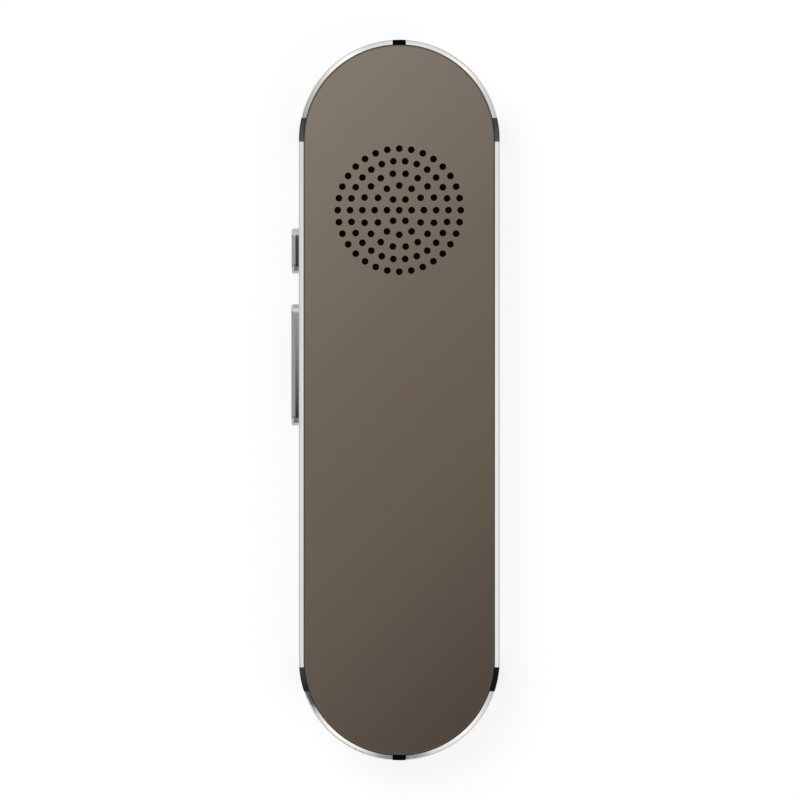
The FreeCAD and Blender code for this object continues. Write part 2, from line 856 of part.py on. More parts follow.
def frame_screws():
    """Four screws from the front, through board and chassis, into the frame's lugs."""
    screws = []
    head = mm.board_level - mm.head_depth
    tip = chassis_back + mm.boss_depth
    for number, (x, y) in enumerate(screw_places, 1):
        body = new_body(f"frame_screw_{number}")
        add(body, FLAT, head, mm.board_level, circle(0, 0, mm.head_radius))
        add(body, FLAT, mm.board_level, tip, circle(0, 0, mm.screw_radius))
        for long, short in ((mm.recess_length, mm.recess_width), (mm.recess_width, mm.recess_length)):
            bar = rectangle(-long / 2, -short / 2, long / 2, short / 2)
            cut(body, FLAT, head, head + mm.recess_depth, bar)
        screws.append(place(body, x, y))
    keep(joined("Part::Compound", "frame_screws", *screws), "frame_screws")


def board_parts():
    """The shielding can with the processor and chips under it, and two chips beside it."""
    low = mm.board_level - mm.can_height
    half = can_half
    can = block("shield_can", (-half, mm.can_low, low), (half, mm.can_high, mm.board_level))
    soften(can, mm.can_wall, lies_at(low))
    wall = mm.can_wall
    inside = rectangle(-half + wall, mm.can_low + wall, half - wall, mm.can_high - wall)
    cut(can, FLAT, low + wall, mm.board_level, inside)
    keep(can, "shield_can")
    side = mm.processor_width / 2
    bottom = mm.board_level - mm.processor_depth
    corner = (side, mm.processor_y + side, mm.board_level)
    keep(block("processor", (-side, mm.processor_y - side, bottom), corner), "processor")
    chips = []
    spots = [(chip_x * side, y) for y in (mm.chip_y, mm.outer_chip_y) for side in (-1, 1)]
    for x, y in spots:
        reach, run = mm.chip_width / 2, mm.chip_length / 2
        bottom = mm.board_level - mm.chip_depth
        low_corner, high_corner = (-reach, -run, bottom), (reach, run, mm.board_level)
        chips.append(place(block(f"board_chip_{len(chips) + 1}", low_corner, high_corner), x, y))
    keep(joined("Part::Compound", "board_chips", *chips), "board_chips")


# Battery

def battery():
    low = chassis_back + mm.adhesive_depth
    half = battery_half
    cell = block(
        "battery_cell",
        (-half, mm.battery_low, low),
        (half, mm.battery_high, battery_back),
        mm.battery_edge_radius,
    )
    keep(cell, "battery_cell")
    margin = mm.adhesive_margin
    pad = block(
        "battery_adhesive",
        (-half + margin, mm.battery_low + margin, chassis_back),
        (half - margin, mm.battery_high - margin, low),
    )
    keep(pad, "battery_adhesive")
    margin = mm.foam_margin
    foam = block(
        "battery_foam",
        (-half + margin, mm.battery_low + margin, battery_back),
        (half - margin, mm.battery_high - margin, back_inner),
    )
    keep(foam, "battery_foam")
    half = mm.protection_half_width
    high_y = protection_low + mm.protection_length
    top = chassis_back + mm.protection_height
    board = block("battery_protection_board", (-half, protection_low, chassis_back), (half, high_y, top))
    keep(board, "battery_protection_board")


def battery_connector():
    """The socket on the board, its plug and the two leads from the protection board."""
    half, low_y, high_y = mm.socket_half_width, mm.socket_low, mm.socket_high
    top = board_back + mm.socket_height
    wall = mm.socket_wall
    socket = block("battery_socket", (-half, low_y, board_back), (half, high_y, top))
    inside = rectangle(-half + wall, low_y + wall, half - wall, high_y - wall)
    cut(socket, FLAT, board_back + wall, top, inside)
    keep(socket, "battery_socket")
    shrink = wall + mm.plug_gap
    plug = block(
        "battery_plug",
        (-half + shrink, low_y + shrink, board_back + shrink),
        (half - shrink, high_y - shrink, top),
    )
    add(plug, FLAT, top, top + mm.plug_head_height, rectangle(-half, low_y, half, high_y))
    keep(plug, "battery_plug")
    leads = []
    for side in (-1, 1):
        lead = new_body(f"battery_lead_{len(leads) + 1}")
        x = mm.lead_spacing / 2 * side
        add(lead, UPRIGHT, high_y, protection_low, circle(x, lead_level, mm.lead_radius))
        leads.append(lead)
    keep(joined("Part::Compound", "battery_leads", *leads), "battery_leads")


# Speaker

def contact_places():
    """The two spring pins between the board and the speaker."""
    return [(mm.contact_spacing / 2 * side, mm.speaker_y) for side in (-1, 1)]


def speaker():
    at_speaker = {"y": mm.speaker_y}
    cup_inner = cup_radius - mm.cup_wall
    seat_level = basket_top - mm.cone_seat
    seat_radius = speaker_radius - mm.cup_wall
    floor = cup_bottom + mm.cup_floor
    coil_high = seat_level - mm.cone_depth
    basket = new_body("speaker_basket")
    turn(
        basket,
        (0, cup_bottom),
        (cup_radius, cup_bottom),
        (cup_radius, flange_bottom),
        (speaker_radius, flange_bottom),
        (speaker_radius, basket_top),
        (seat_radius, basket_top),
        (seat_radius, seat_level),
        (cup_inner, seat_level),
        (cup_inner, floor),
        (0, floor),
    )
    keep(place(basket, **at_speaker), "speaker_basket")

    magnet = new_body("speaker_magnet")
    add(magnet, FLAT, floor, coil_high - mm.magnet_gap, circle(0, 0, mm.magnet_radius))
    keep(place(magnet, **at_speaker), "speaker_magnet")

    coil_inner = mm.magnet_radius + mm.coil_gap
    coil_outer = coil_inner + mm.coil_wall
    coil_low = floor + mm.coil_lift
    coil = new_body("speaker_voice_coil")
    add(coil, FLAT, coil_low, coil_high, circle(0, 0, coil_outer), circle(0, 0, coil_inner))
    keep(place(coil, **at_speaker), "speaker_voice_coil")

    skin = mm.cone_skin
    rim = seat_radius - mm.panel_gap
    roll_in = rim - mm.cone_seat - mm.surround_width
    crest = roll_in + mm.surround_width / 2
    crest_level = seat_level + mm.surround_rise
    cone = new_body("speaker_cone")
    turn(
        cone,
        (coil_inner, coil_high),
        (coil_outer, coil_high),
        (roll_in, seat_level),
        (crest, crest_level),
        (rim - mm.cone_seat, seat_level),
        (rim, seat_level),
        (rim, seat_level + skin),
        (rim - mm.cone_seat, seat_level + skin),
        (crest, crest_level + skin),
        (roll_in, seat_level + skin),
        (coil_outer, coil_high + skin),
        (coil_inner, coil_high + skin),
    )
    keep(place(cone, **at_speaker), "speaker_cone")
    dust_cap(coil_inner, coil_high + skin)

    gasket = new_body("speaker_gasket")
    ring = [circle(0, 0, speaker_radius), circle(0, 0, speaker_radius - mm.gasket_width)]
    add(gasket, FLAT, basket_top, basket_top + mm.gasket_depth, *ring)
    keep(place(gasket, **at_speaker), "speaker_gasket")
    mesh = new_body("grille_mesh")
    add(mesh, FLAT, back_inner - mm.mesh_depth, back_inner, circle(0, 0, mesh_radius))
    keep(place(mesh, **at_speaker), "grille_mesh")

    pins = []
    for x, y in contact_places():
        pin = new_body(f"speaker_contact_{len(pins) + 1}")
        add(pin, FLAT, board_back, cup_bottom, circle(0, 0, mm.contact_radius))
        pins.append(place(pin, x, y))
    keep(joined("Part::Compound", "speaker_contacts", *pins), "speaker_contacts")


def dust_cap(radius, level):
    """A thin domed cap, cut from a disc by one ball and hollowed by another."""
    rise, skin = mm.dust_cap_rise, mm.cone_skin
    ball_radius = (radius * radius + rise * rise) / (rise * 2)
    disc = doc.addObject("Part::Cylinder", "dust_cap_disc")
    bind(disc, "Radius", radius)
    bind(disc, "Height", rise + skin)
    place(disc, 0, mm.speaker_y, level)
    balls = []
    for name, grow in (("dust_cap_outside", skin), ("dust_cap_inside", as_size(0))):
        ball = doc.addObject("Part::Sphere", name)
        bind(ball, "Radius", ball_radius + grow)
        place(ball, 0, mm.speaker_y, level + rise - ball_radius)
        balls.append(ball)
    dome = joined("Part::Common", "dust_cap_dome", disc, balls[0])
    keep(joined("Part::Cut", "speaker_dust_cap", dome, balls[1]), "speaker_dust_cap")


# Charging socket and microphones

def usb_socket():
    shell = new_body("usb_shell")
    add(shell, UPRIGHT, usb_mouth, usb_back, usb_outline(as_size(0)), usb_outline(-mm.usb_wall))
    root = mm.usb_half_width - mm.usb_tab_root
    reach = mm.usb_half_width + mm.usb_tab_reach
    for row in range(2):
        low = usb_mouth + mm.usb_tab_inset + mm.usb_tab_pitch * row
        high = low + mm.usb_tab_length
        for side in (-1, 1):
            tab = rectangle(root * side, low, reach * side, high)
            add(shell, FLAT, board_back, board_back + mm.usb_tab_depth, tab)
    keep(shell, "usb_shell")

    tongue = new_body("usb_tongue")
    base = usb_back - mm.usb_base_length
    add(tongue, UPRIGHT, base, usb_back, usb_outline(-mm.usb_wall - mm.plug_gap))
    half, thick = mm.tongue_half_width, mm.tongue_depth / 2
    blade = rectangle(-half, mm.side_level - thick, half, mm.side_level + thick)
    add(tongue, UPRIGHT, usb_mouth + mm.tongue_inset, base, blade)
    keep(tongue, "usb_tongue")


boot_half = mm.mic_half_width + mm.boot_wall + mm.boot_gap
boot_front = arc_y + root(core_half * core_half - boot_half * boot_half) - mm.boot_gap
upper_mic_high = boot_front - mm.upper_mic_gap
upper_mic_low = upper_mic_high - mm.mic_length


def microphones():
    """Each microphone lies on the board inside a rubber boot with a duct to its hole."""
    half = mm.mic_half_width
    run = mm.mic_length / 2
    mic_front = mm.board_level - mm.mic_depth
    low_corner = (-half, lower_mic_y - run, mic_front)
    lower = block("lower_microphone", low_corner, (half, lower_mic_y + run, mm.board_level))
    keep(lower, "lower_microphone")
    wide, long = boot_half, run + mm.boot_wall + mm.boot_gap
    low_corner = (-wide, lower_mic_y - long, front_inner)
    boot = block("lower_microphone_boot", low_corner, (wide, lower_mic_y + long, mm.board_level))
    room, stretch = half + mm.boot_gap, run + mm.boot_gap
    y = lower_mic_y
    pocket = rectangle(-room, y - stretch, room, y + stretch)
    cut(boot, FLAT, mic_front - mm.boot_gap, mm.board_level, pocket)
    cut(boot, FLAT, front_inner, mm.board_level, circle(0, y, mm.sound_hole_radius))
    keep(boot, "lower_microphone_boot")

    top = board_back + mm.mic_depth
    high_corner = (half, upper_mic_high, top)
    upper = block("upper_microphone", (-half, upper_mic_low, board_back), high_corner)
    keep(upper, "upper_microphone")
    cover = mm.side_level + mm.sound_hole_radius + mm.boot_wall
    low_corner = (-wide, upper_mic_low - mm.boot_wall, board_back)
    boot = block("upper_microphone_boot", low_corner, (wide, boot_front, cover))
    pocket = rectangle(-room, upper_mic_low - mm.boot_gap, room, upper_mic_high + mm.boot_gap)
    air = mm.side_level + mm.sound_hole_radius
    cut(boot, FLAT, board_back, air, pocket)
    cut(boot, UPRIGHT, upper_mic_high, boot_front, circle(0, mm.side_level, mm.sound_hole_radius))
    keep(boot, "upper_microphone_boot")


# Status light and aerial

def status_light():
    pipe = new_body("status_light_pipe")
    low = mm.light_recess
    add(pipe, FLAT, low, low + mm.light_length, circle(0, mm.light_y, mm.light_radius))
    flange = circle(0, mm.light_y, mm.light_flange_radius)
    add(pipe, FLAT, front_inner, front_inner + mm.light_flange_depth, flange)
    keep(pipe, "status_light_pipe")
    reach, run = mm.led_width / 2, mm.led_length / 2
    low_corner = (-reach, mm.light_y - run, mm.board_level - mm.led_depth)
    keep(block("status_led", low_corner, (reach, mm.light_y + run, mm.board_level)), "status_led")


def aerial():
    half = aerial_half
    film_back = front_inner + mm.aerial_depth
    film = block("antenna_film", (-half, aerial_low, front_inner), (half, aerial_high, film_back))
    keep(film, "antenna_film")
    reach, leaf = mm.spring_half_length, mm.spring_leaf
    spring = new_body("antenna_spring")
    outline = polygon(
        (-reach, mm.board_level),
        (reach, mm.board_level),
        (reach, film_back),
        (-reach + leaf, film_back),
        (-reach + leaf, film_back + leaf),
        (reach - leaf, film_back + leaf),
        (reach - leaf, mm.board_level - leaf),
        (-reach, mm.board_level - leaf),
    )
    low, high = spring_y - mm.spring_half_width, spring_y + mm.spring_half_width
    add(spring, UPRIGHT, low, high, outline)
    keep(spring, "antenna_spring")


# Side keys, with their switches, strip and bracket

switch_face = -half_width + mm.side_switch_inset
flange_back = -half_width + mm.key_lip + mm.key_play + mm.flange_depth
foot_tip = -half_width - mm.rocker_proud + mm.rocker_depth + mm.rocker_foot_height
pin_x = -half_width + mm.pin_inset
ear_low = mm.side_level - mm.rocker_lug_height / 2 - mm.lug_gap
ear_high = mm.side_level + mm.rocker_lug_height / 2 + mm.lug_gap


def power_key():
    body = new_body("power_key")
    outer = -half_width - mm.power_key_proud
    flange = -half_width + mm.key_lip + mm.key_play
    add(body, SIDEWAYS, outer, flange, key_slot(mm.power_key_y, mm.power_key_length, 0, 0))
    soften(body, mm.side_key_edge_radius, lies_at(outer, "X"))
    margin = mm.flange_margin
    wide = key_slot(mm.power_key_y, mm.power_key_length, margin, margin)
    add(body, SIDEWAYS, flange, flange_back, wide)
    keep(body, "power_key")


def volume_rocker():
    body = new_body("volume_rocker")
    outer = -half_width - mm.rocker_proud
    inner = outer + mm.rocker_depth
    add(body, SIDEWAYS, outer, inner, key_slot(mm.rocker_y, mm.rocker_length, 0, 0))
    soften(body, mm.side_key_edge_radius, lies_at(outer, "X"))
    for side in (-1, 1):
        foot = circle(mm.rocker_y + mm.rocker_foot_y * side, mm.side_level, mm.rocker_foot_radius)
        add(body, SIDEWAYS, inner, foot_tip, foot)
    low = mm.side_level - mm.rocker_lug_height / 2
    high = mm.side_level + mm.rocker_lug_height / 2
    radius = mm.rocker_lug_radius
    arm = rectangle(inner - mm.rocker_foot_height, mm.rocker_y - radius, pin_x, mm.rocker_y + radius)
    add(body, FLAT, low, high, arm)
    add(body, FLAT, low, high, circle(pin_x, mm.rocker_y, radius))
    cut(body, FLAT, low, high, circle(pin_x, mm.rocker_y, mm.pin_radius + mm.pin_gap))
    keep(body, "volume_rocker")


def side_key_bracket():
    body = new_body("side_key_bracket")
    low_y, high_y = mm.bay_low - mm.bracket_end, mm.bay_high + mm.bracket_end
    top = board_back + mm.bracket_height
    add(body, FLAT, board_back, top, rectangle(bracket_outer, low_y, bracket_inner, high_y))
    half = mm.ear_width / 2
    ear = rectangle(pin_x - mm.ear_margin, mm.rocker_y - half, bracket_outer, mm.rocker_y + half)
    pin_seat = circle(pin_x, mm.rocker_y, mm.pin_radius + mm.pin_seat_gap)
    for low, high in ((board_back, ear_low), (ear_high, top)):
        add(body, FLAT, low, high, ear)
        cut(body, FLAT, low, high, pin_seat)
    keep(body, "side_key_bracket")
    pin = new_body("rocker_pin")
    add(pin, FLAT, board_back, top, circle(pin_x, mm.rocker_y, mm.pin_radius))
    keep(pin, "rocker_pin")


def side_key_flex():
    """The strip that the side switches sit on, with a tail folded onto the board's front."""
    body = new_body("side_key_flex")
    outer = bracket_outer - mm.flex_depth
    half = mm.flex_height / 2
    low_y, high_y = mm.bay_low + mm.bracket_end, mm.bay_high - mm.bracket_end
    low, high = mm.side_level - half, mm.side_level + half
    add(body, FLAT, low, high, rectangle(outer, low_y, bracket_outer, high_y))
    tail_y = mm.rocker_y + mm.rocker_foot_y
    tail = (tail_y, tail_y + mm.flex_tail_width)
    under = mm.board_level - mm.flex_depth
    add(body, FLAT, under, low, rectangle(outer, tail[0], bracket_outer, tail[1]))
    reach = bracket_outer + mm.flex_tail_reach
    add(body, FLAT, under, mm.board_level, rectangle(bracket_outer, tail[0], reach, tail[1]))
    keep(body, "side_key_flex")


def push_switch(label, plane, depth, half_wide, half_high, bore_radius):
    """A switch body at its own origin, its mouth at zero and its bore running inwards."""
    body = new_body(label)
    add(body, plane, 0, depth, rectangle(-half_wide, -half_high, half_wide, half_high))
    cut(body, plane, 0, depth - mm.switch_bore_floor, circle(0, 0, bore_radius))
    return body


def push_plunger(label, plane, tip, inner_end, radius, axis):
    """A switch's plunger, measured from the switch's mouth, with its tip rounded."""
    body = new_body(label)
    add(body, plane, tip, inner_end, circle(0, 0, radius))
    soften(body, mm.plunger_tip_radius, lies_at(tip, axis))
    return body


def side_switches():
    places = {
        "power": (mm.power_key_y, flange_back),
        "volume_up": (mm.rocker_y + mm.rocker_foot_y, foot_tip),
        "volume_down": (mm.rocker_y - mm.rocker_foot_y, foot_tip),
    }
    half_wide, half_high = mm.side_switch_width / 2, mm.side_switch_height / 2
    bore = mm.side_plunger_radius + mm.switch_bore_gap
    for name, (y, pusher) in places.items():
        label = f"{name}_switch"
        body = push_switch(label, SIDEWAYS, mm.side_switch_depth, half_wide, half_high, bore)
        keep(place(body, switch_face, y, mm.side_level), label)
        tip = pusher + mm.key_play - switch_face
        label = f"{name}_plunger"
        end = mm.side_plunger_engage
        body = push_plunger(label, SIDEWAYS, tip, end, mm.side_plunger_radius, "X")
        keep(place(body, switch_face, y, mm.side_level), label)


# Talk keys

def talk_key(label, y, dots):
    """A dished cap with raised dots, and a flange that holds it behind the front panel."""
    body = new_body(label)
    face = mm.talk_key_recess
    flange = front_inner + mm.key_play
    add(body, FLAT, face, flange, circle(0, 0, mm.talk_key_radius))
    soften(body, mm.talk_edge_radius, lies_at(face))
    flange_top = flange + mm.talk_flange_depth
    add(body, FLAT, flange, flange_top, circle(0, 0, mm.talk_flange_radius))
    radius, depth = mm.dish_radius, mm.dish_depth
    ball_radius = (radius * radius + depth * depth) / (depth * 2)
    dish = body.newObject("PartDesign::SubtractiveSphere", "Dish")
    bind(dish, "Radius", ball_radius)
    bind(dish, "AttachmentOffset.Base.z", face + depth - ball_radius)
    support = [plane for plane in body.Origin.OriginFeatures if plane.Role == FLAT][0]
    dish.AttachmentSupport = [(support, "")]
    dish.MapMode = "FlatFace"
    floor = face + depth
    for number in range(dots):
        x = mm.dot_spacing * (number - (dots - 1) / 2)
        add(body, FLAT, floor - mm.dot_rise, flange, circle(x, 0, mm.dot_radius))
    keep(place(body, 0, y), label)


def talk_keys():
    back = front_inner + mm.key_play + mm.talk_flange_depth
    mouth = mm.board_level - mm.talk_switch_depth
    half = mm.talk_switch_width / 2
    radius = mm.talk_plunger_radius
    for dots, (name, y) in enumerate(talk_key_places().items(), 1):
        talk_key(f"{name}_key", y, dots)
        label = f"{name}_switch"
        bore = radius + mm.switch_bore_gap
        body = push_switch(label, FLAT, mm.talk_switch_depth, half, half, bore)
        keep(place(body, 0, y, mouth), label)
        label = f"{name}_plunger"
        tip = back + mm.key_play - mouth
        body = push_plunger(label, FLAT, tip, mm.talk_plunger_engage, radius, "Z")
        keep(place(body, 0, y, mouth), label)


def make_all():
    side_frame()
    frame_inlays()
    back_panel()
    front_panel()
    panel_tapes()
    chassis()
    main_board()
    frame_screws()
    board_parts()
    battery()
    battery_connector()
    speaker()
    usb_socket()
    microphones()
    status_light()
    aerial()
    power_key()
    volume_rocker()
    side_key_bracket()
    side_key_flex()
    side_switches()
    talk_keys()


def check_all():
    """Stop if any object failed, a pocket cut nothing or a sub-part isn't a sound solid."""
    faults = []
    for thing in doc.Objects:
        if "Invalid" in thing.State or "Error" in thing.State:
            faults.append(f"{thing.Label} failed")
        if thing.TypeId == "PartDesign::Pocket":
            before = thing.BaseFeature.Shape.Volume
            if before - thing.Shape.Volume < 1e-6:
                faults.append(f"{thing.Label} of {thing.getParentGeoFeatureGroup().Label} cut nothing")
    for thing in parts:
        if thing.Shape.isNull() or not thing.Shape.isValid() or not thing.Shape.Solids:
            faults.append(f"{thing.Label} is no sound solid")
    if faults:
        raise RuntimeError("; ".join(faults))


def write_all():
    os.makedirs("parts", exist_ok=True)
    for thing in parts:
        thing.Shape.exportStep(f"parts/{thing.Label}.step")
        box = thing.Shape.BoundBox
        print(f"{thing.Label}: {len(thing.Shape.Solids)} solid(s), {box.XLength:.2f} x "
              f"{box.YLength:.2f} x {box.ZLength:.2f} mm, {thing.Shape.Volume:.2f} mm3")
    print(f"{len(parts)} sub-parts")


make_all()
doc.recompute()
check_all()
write_all()
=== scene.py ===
# %% [markdown]
# A handheld translator lies on its key face, with its speaker side up. It is a flat,
# stadium-shaped body: a polished metal rim, a taupe plate with a round field of speaker holes,
# two chromed side keys and six dark blocks let into the rim. The other face is black gloss with
# two round talk keys. The solids come from the CAD model in metres, so this script only dresses
# them: finishes first, then the small pieces that are easier to make in Blender, and last the
# studio and the camera.

# %% Load the solids
import math

import bpy
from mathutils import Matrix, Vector


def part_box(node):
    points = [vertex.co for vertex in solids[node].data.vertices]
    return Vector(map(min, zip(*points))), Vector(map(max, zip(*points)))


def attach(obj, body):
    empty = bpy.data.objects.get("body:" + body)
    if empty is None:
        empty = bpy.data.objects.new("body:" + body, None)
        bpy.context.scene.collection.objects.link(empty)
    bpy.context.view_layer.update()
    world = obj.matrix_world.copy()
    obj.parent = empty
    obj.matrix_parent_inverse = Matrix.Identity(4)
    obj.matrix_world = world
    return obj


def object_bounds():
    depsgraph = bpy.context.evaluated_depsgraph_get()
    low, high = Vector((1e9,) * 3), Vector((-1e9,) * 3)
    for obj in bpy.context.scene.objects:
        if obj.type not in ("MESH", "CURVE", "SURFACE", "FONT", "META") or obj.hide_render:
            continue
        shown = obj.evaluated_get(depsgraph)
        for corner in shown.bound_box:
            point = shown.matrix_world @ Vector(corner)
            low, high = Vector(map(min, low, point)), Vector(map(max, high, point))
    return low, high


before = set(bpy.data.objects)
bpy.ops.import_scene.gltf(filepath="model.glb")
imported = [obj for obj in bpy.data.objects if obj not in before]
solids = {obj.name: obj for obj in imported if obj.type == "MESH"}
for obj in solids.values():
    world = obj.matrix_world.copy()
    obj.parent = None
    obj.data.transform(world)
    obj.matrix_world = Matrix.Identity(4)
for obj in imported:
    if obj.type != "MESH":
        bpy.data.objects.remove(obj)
cad_low, cad_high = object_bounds()
body_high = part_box("side_frame")[1]
print(len(solids), "solids, the whole measures", [round(v * 1000, 2) for v in cad_high - cad_low], "mm")

# %% [markdown]
# Sizes below are in metres, so millimetres get a name. The body's outline is a stadium: two
# half circles joined by straight sides. Everything that follows the rim needs the level where
# the straight sides end, so it is worked out once, from the frame's own box.

# %% Sizes that the finishes share
MM = 0.001
HALF_WIDTH = body_high.x
STRAIGHT_END = body_high.y - HALF_WIDTH
BACK_LEVEL = body_high.z
SIDE_LEVEL = sum(corner.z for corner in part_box("volume_rocker")) / 2
print("straight sides end at", round(STRAIGHT_END / MM, 2), "mm")

# %% [markdown]
# Real surfaces are never one flat value. The effects that several finishes share, such as grain
# or worn edges, are node groups: each is built once and placed in a material with that
# material's own numbers. This helper opens a group and gives it named sockets.


# %% A shader node group with named sockets
def open_group(name, inputs, outputs):
    """Return a new group with its input and output nodes; a socket is a name and a start value."""
    group = bpy.data.node_groups.new(name, "ShaderNodeTree")
    for label, value in inputs.items():
        socket = group.interface.new_socket(label, in_out="INPUT", socket_type="NodeSocketFloat")
        socket.default_value = value
    for label, kind in outputs.items():
        group.interface.new_socket(label, in_out="OUTPUT", socket_type=kind)
    return group, group.nodes.new("NodeGroupInput"), group.nodes.new("NodeGroupOutput")


def math_node(tree, operation, first, second=None, clamp=False):
    """Place a Math node; an operand is a number or another node's output."""
    node = tree.nodes.new("ShaderNodeMath")
    node.operation = operation
    node.use_clamp = clamp
    for socket, value in zip(node.inputs, (first, second)):
        if isinstance(value, bpy.types.NodeSocket):
            tree.links.new(value, socket)
        elif value is not None:
            socket.default_value = value
    return node.outputs[0]


def level_node(tree, value, low, high, start=0.0, end=1.0):
    """Place a Map Range node that eases a value from low..high to start..end."""
    node = tree.nodes.new("ShaderNodeMapRange")
    node.interpolation_type = "SMOOTHSTEP"
    tree.links.new(value, node.inputs["Value"])
    for label, number in (("From Min", low), ("From Max", high), ("To Min", start), ("To Max", end)):
        if isinstance(number, bpy.types.NodeSocket):
            tree.links.new(number, node.inputs[label])
        else:
            node.inputs[label].default_value = number
    return node.outputs["Result"]


def object_place(tree):
    """Return the object-space place of the surface point, which stays put when the view moves."""
    return tree.nodes.new("ShaderNodeTexCoord").outputs["Object"]


def place_group(tree, group, **values):
    """Place a finished group in a tree, set its inputs by name, and return its outputs."""
    node = tree.nodes.new("ShaderNodeGroup")
    node.node_tree = group
    for label, value in values.items():
        node.inputs[label.replace("_", " ")].default_value = value
    return node.outputs


FLOAT, VECTOR = "NodeSocketFloat", "NodeSocketVector"

# %% [markdown]
# Painted metal and moulded plastic both have a very fine, even bumpiness. It could be an image,
# but noise in object space needs no unwrapping and has no seams. The group gives a height for a
# Bump node and a mask that makes the gloss uneven.


# %% Fine grain
def make_fine_grain():
    group, given, result = open_group("Fine grain", {"Cells per metre": 6000.0, "Detail": 4.0},
                                      {"Height": FLOAT, "Mask": FLOAT})
    noise = group.nodes.new("ShaderNodeTexNoise")
    group.links.new(object_place(group), noise.inputs["Vector"])
    group.links.new(given.outputs["Cells per metre"], noise.inputs["Scale"])
    group.links.new(given.outputs["Detail"], noise.inputs["Detail"])
    group.links.new(noise.outputs["Fac"], result.inputs["Height"])
    group.links.new(level_node(group, noise.outputs["Fac"], 0.35, 0.65), result.inputs["Mask"])
    return group


fine_grain = make_fine_grain()

# %% [markdown]
# Handling leaves soft patches where skin grease makes the gloss uneven, and hair-fine scratches
# that run in all directions. The patches are slow noise. A scratch is a thin band of a
# stretched noise, and two sets at an angle keep them from looking combed.


# %% Handling marks
def make_handling_marks():
    group, given, result = open_group(
        "Handling marks", {"Patches per metre": 90.0, "Scratches per metre": 500.0},
        {"Patches": FLOAT, "Scratches": FLOAT})
    place = object_place(group)
    patches = group.nodes.new("ShaderNodeTexNoise")
    patches.inputs["Detail"].default_value = 3.0
    group.links.new(place, patches.inputs["Vector"])
    group.links.new(given.outputs["Patches per metre"], patches.inputs["Scale"])
    group.links.new(level_node(group, patches.outputs["Fac"], 0.42, 0.68), result.inputs["Patches"])
    sets = []
    for turn, stretch in ((0.6, 14.0), (-1.1, 20.0)):
        mapping = group.nodes.new("ShaderNodeMapping")
        mapping.inputs["Rotation"].default_value = (0.3, 0.2, turn)
        mapping.inputs["Scale"].default_value = (1.0, stretch, 1.0)
        group.links.new(place, mapping.inputs["Vector"])
        noise = group.nodes.new("ShaderNodeTexNoise")
        noise.inputs["Detail"].default_value = 1.0
        group.links.new(mapping.outputs["Vector"], noise.inputs["Vector"])
        group.links.new(given.outputs["Scratches per metre"], noise.inputs["Scale"])
        middle = math_node(group, "ABSOLUTE", math_node(group, "SUBTRACT", noise.outputs["Fac"], 0.5))
        sets.append(level_node(group, middle, 0.0, 0.006, 1.0, 0.0))
    both = math_node(group, "MAXIMUM", sets[0], sets[1])
    group.links.new(both, result.inputs["Scratches"])
    return group


handling_marks = make_handling_marks()

# %% [markdown]
# Edges rub first: paint thins, and polish brightens. The Bevel node gives the normal that a
# slightly rounded edge would have, so where it differs from the true normal there is an edge.
# Noise breaks the line up, because wear is never even.


# %% Edge wear
def make_edge_wear():
    group, given, result = open_group(
        "Edge wear", {"Radius": 0.00012, "Spots per metre": 1500.0, "Reach": 0.5}, {"Mask": FLOAT})
    bevel = group.nodes.new("ShaderNodeBevel")
    bevel.samples = 6
    group.links.new(given.outputs["Radius"], bevel.inputs["Radius"])
    geometry = group.nodes.new("ShaderNodeNewGeometry")
    dot = group.nodes.new("ShaderNodeVectorMath")
    dot.operation = "DOT_PRODUCT"
    group.links.new(bevel.outputs["Normal"], dot.inputs[0])
    group.links.new(geometry.outputs["Normal"], dot.inputs[1])
    edge = level_node(group, dot.outputs["Value"], 0.8, 0.995, 1.0, 0.0)
    noise = group.nodes.new("ShaderNodeTexNoise")
    group.links.new(object_place(group), noise.inputs["Vector"])
    group.links.new(given.outputs["Spots per metre"], noise.inputs["Scale"])
    spots = math_node(group, "ADD", noise.outputs["Fac"], given.outputs["Reach"], clamp=True)
    group.links.new(math_node(group, "MULTIPLY", edge, spots), result.inputs["Mask"])
    return group


edge_wear = make_edge_wear()

# %% [markdown]
# Cloth repeats in rows of threads. A row is a wave of one coordinate, so two crossing waves
# make a weave, with a gap wherever both waves are low.


# %% Woven threads
def make_weave():
    group, given, result = open_group("Woven threads", {"Threads per metre": 5000.0},
                                      {"Height": FLOAT, "Holes": FLOAT})
    split = group.nodes.new("ShaderNodeSeparateXYZ")
    group.links.new(object_place(group), split.inputs[0])
    waves = []
    for axis in ("X", "Y"):
        turns = math_node(group, "MULTIPLY", split.outputs[axis], given.outputs["Threads per metre"])
        wave = math_node(group, "SINE", math_node(group, "MULTIPLY", turns, 2 * math.pi))
        waves.append(math_node(group, "ABSOLUTE", wave))
    threads = math_node(group, "MAXIMUM", *waves)
    group.links.new(threads, result.inputs["Height"])
    group.links.new(level_node(group, threads, 0.25, 0.55, 1.0, 0.0), result.inputs["Holes"])
    return group


weave = make_weave()

# %% [markdown]
# Brushed and drawn metal has fine lines in one direction. Noise that is squeezed along one
# axis gives them.


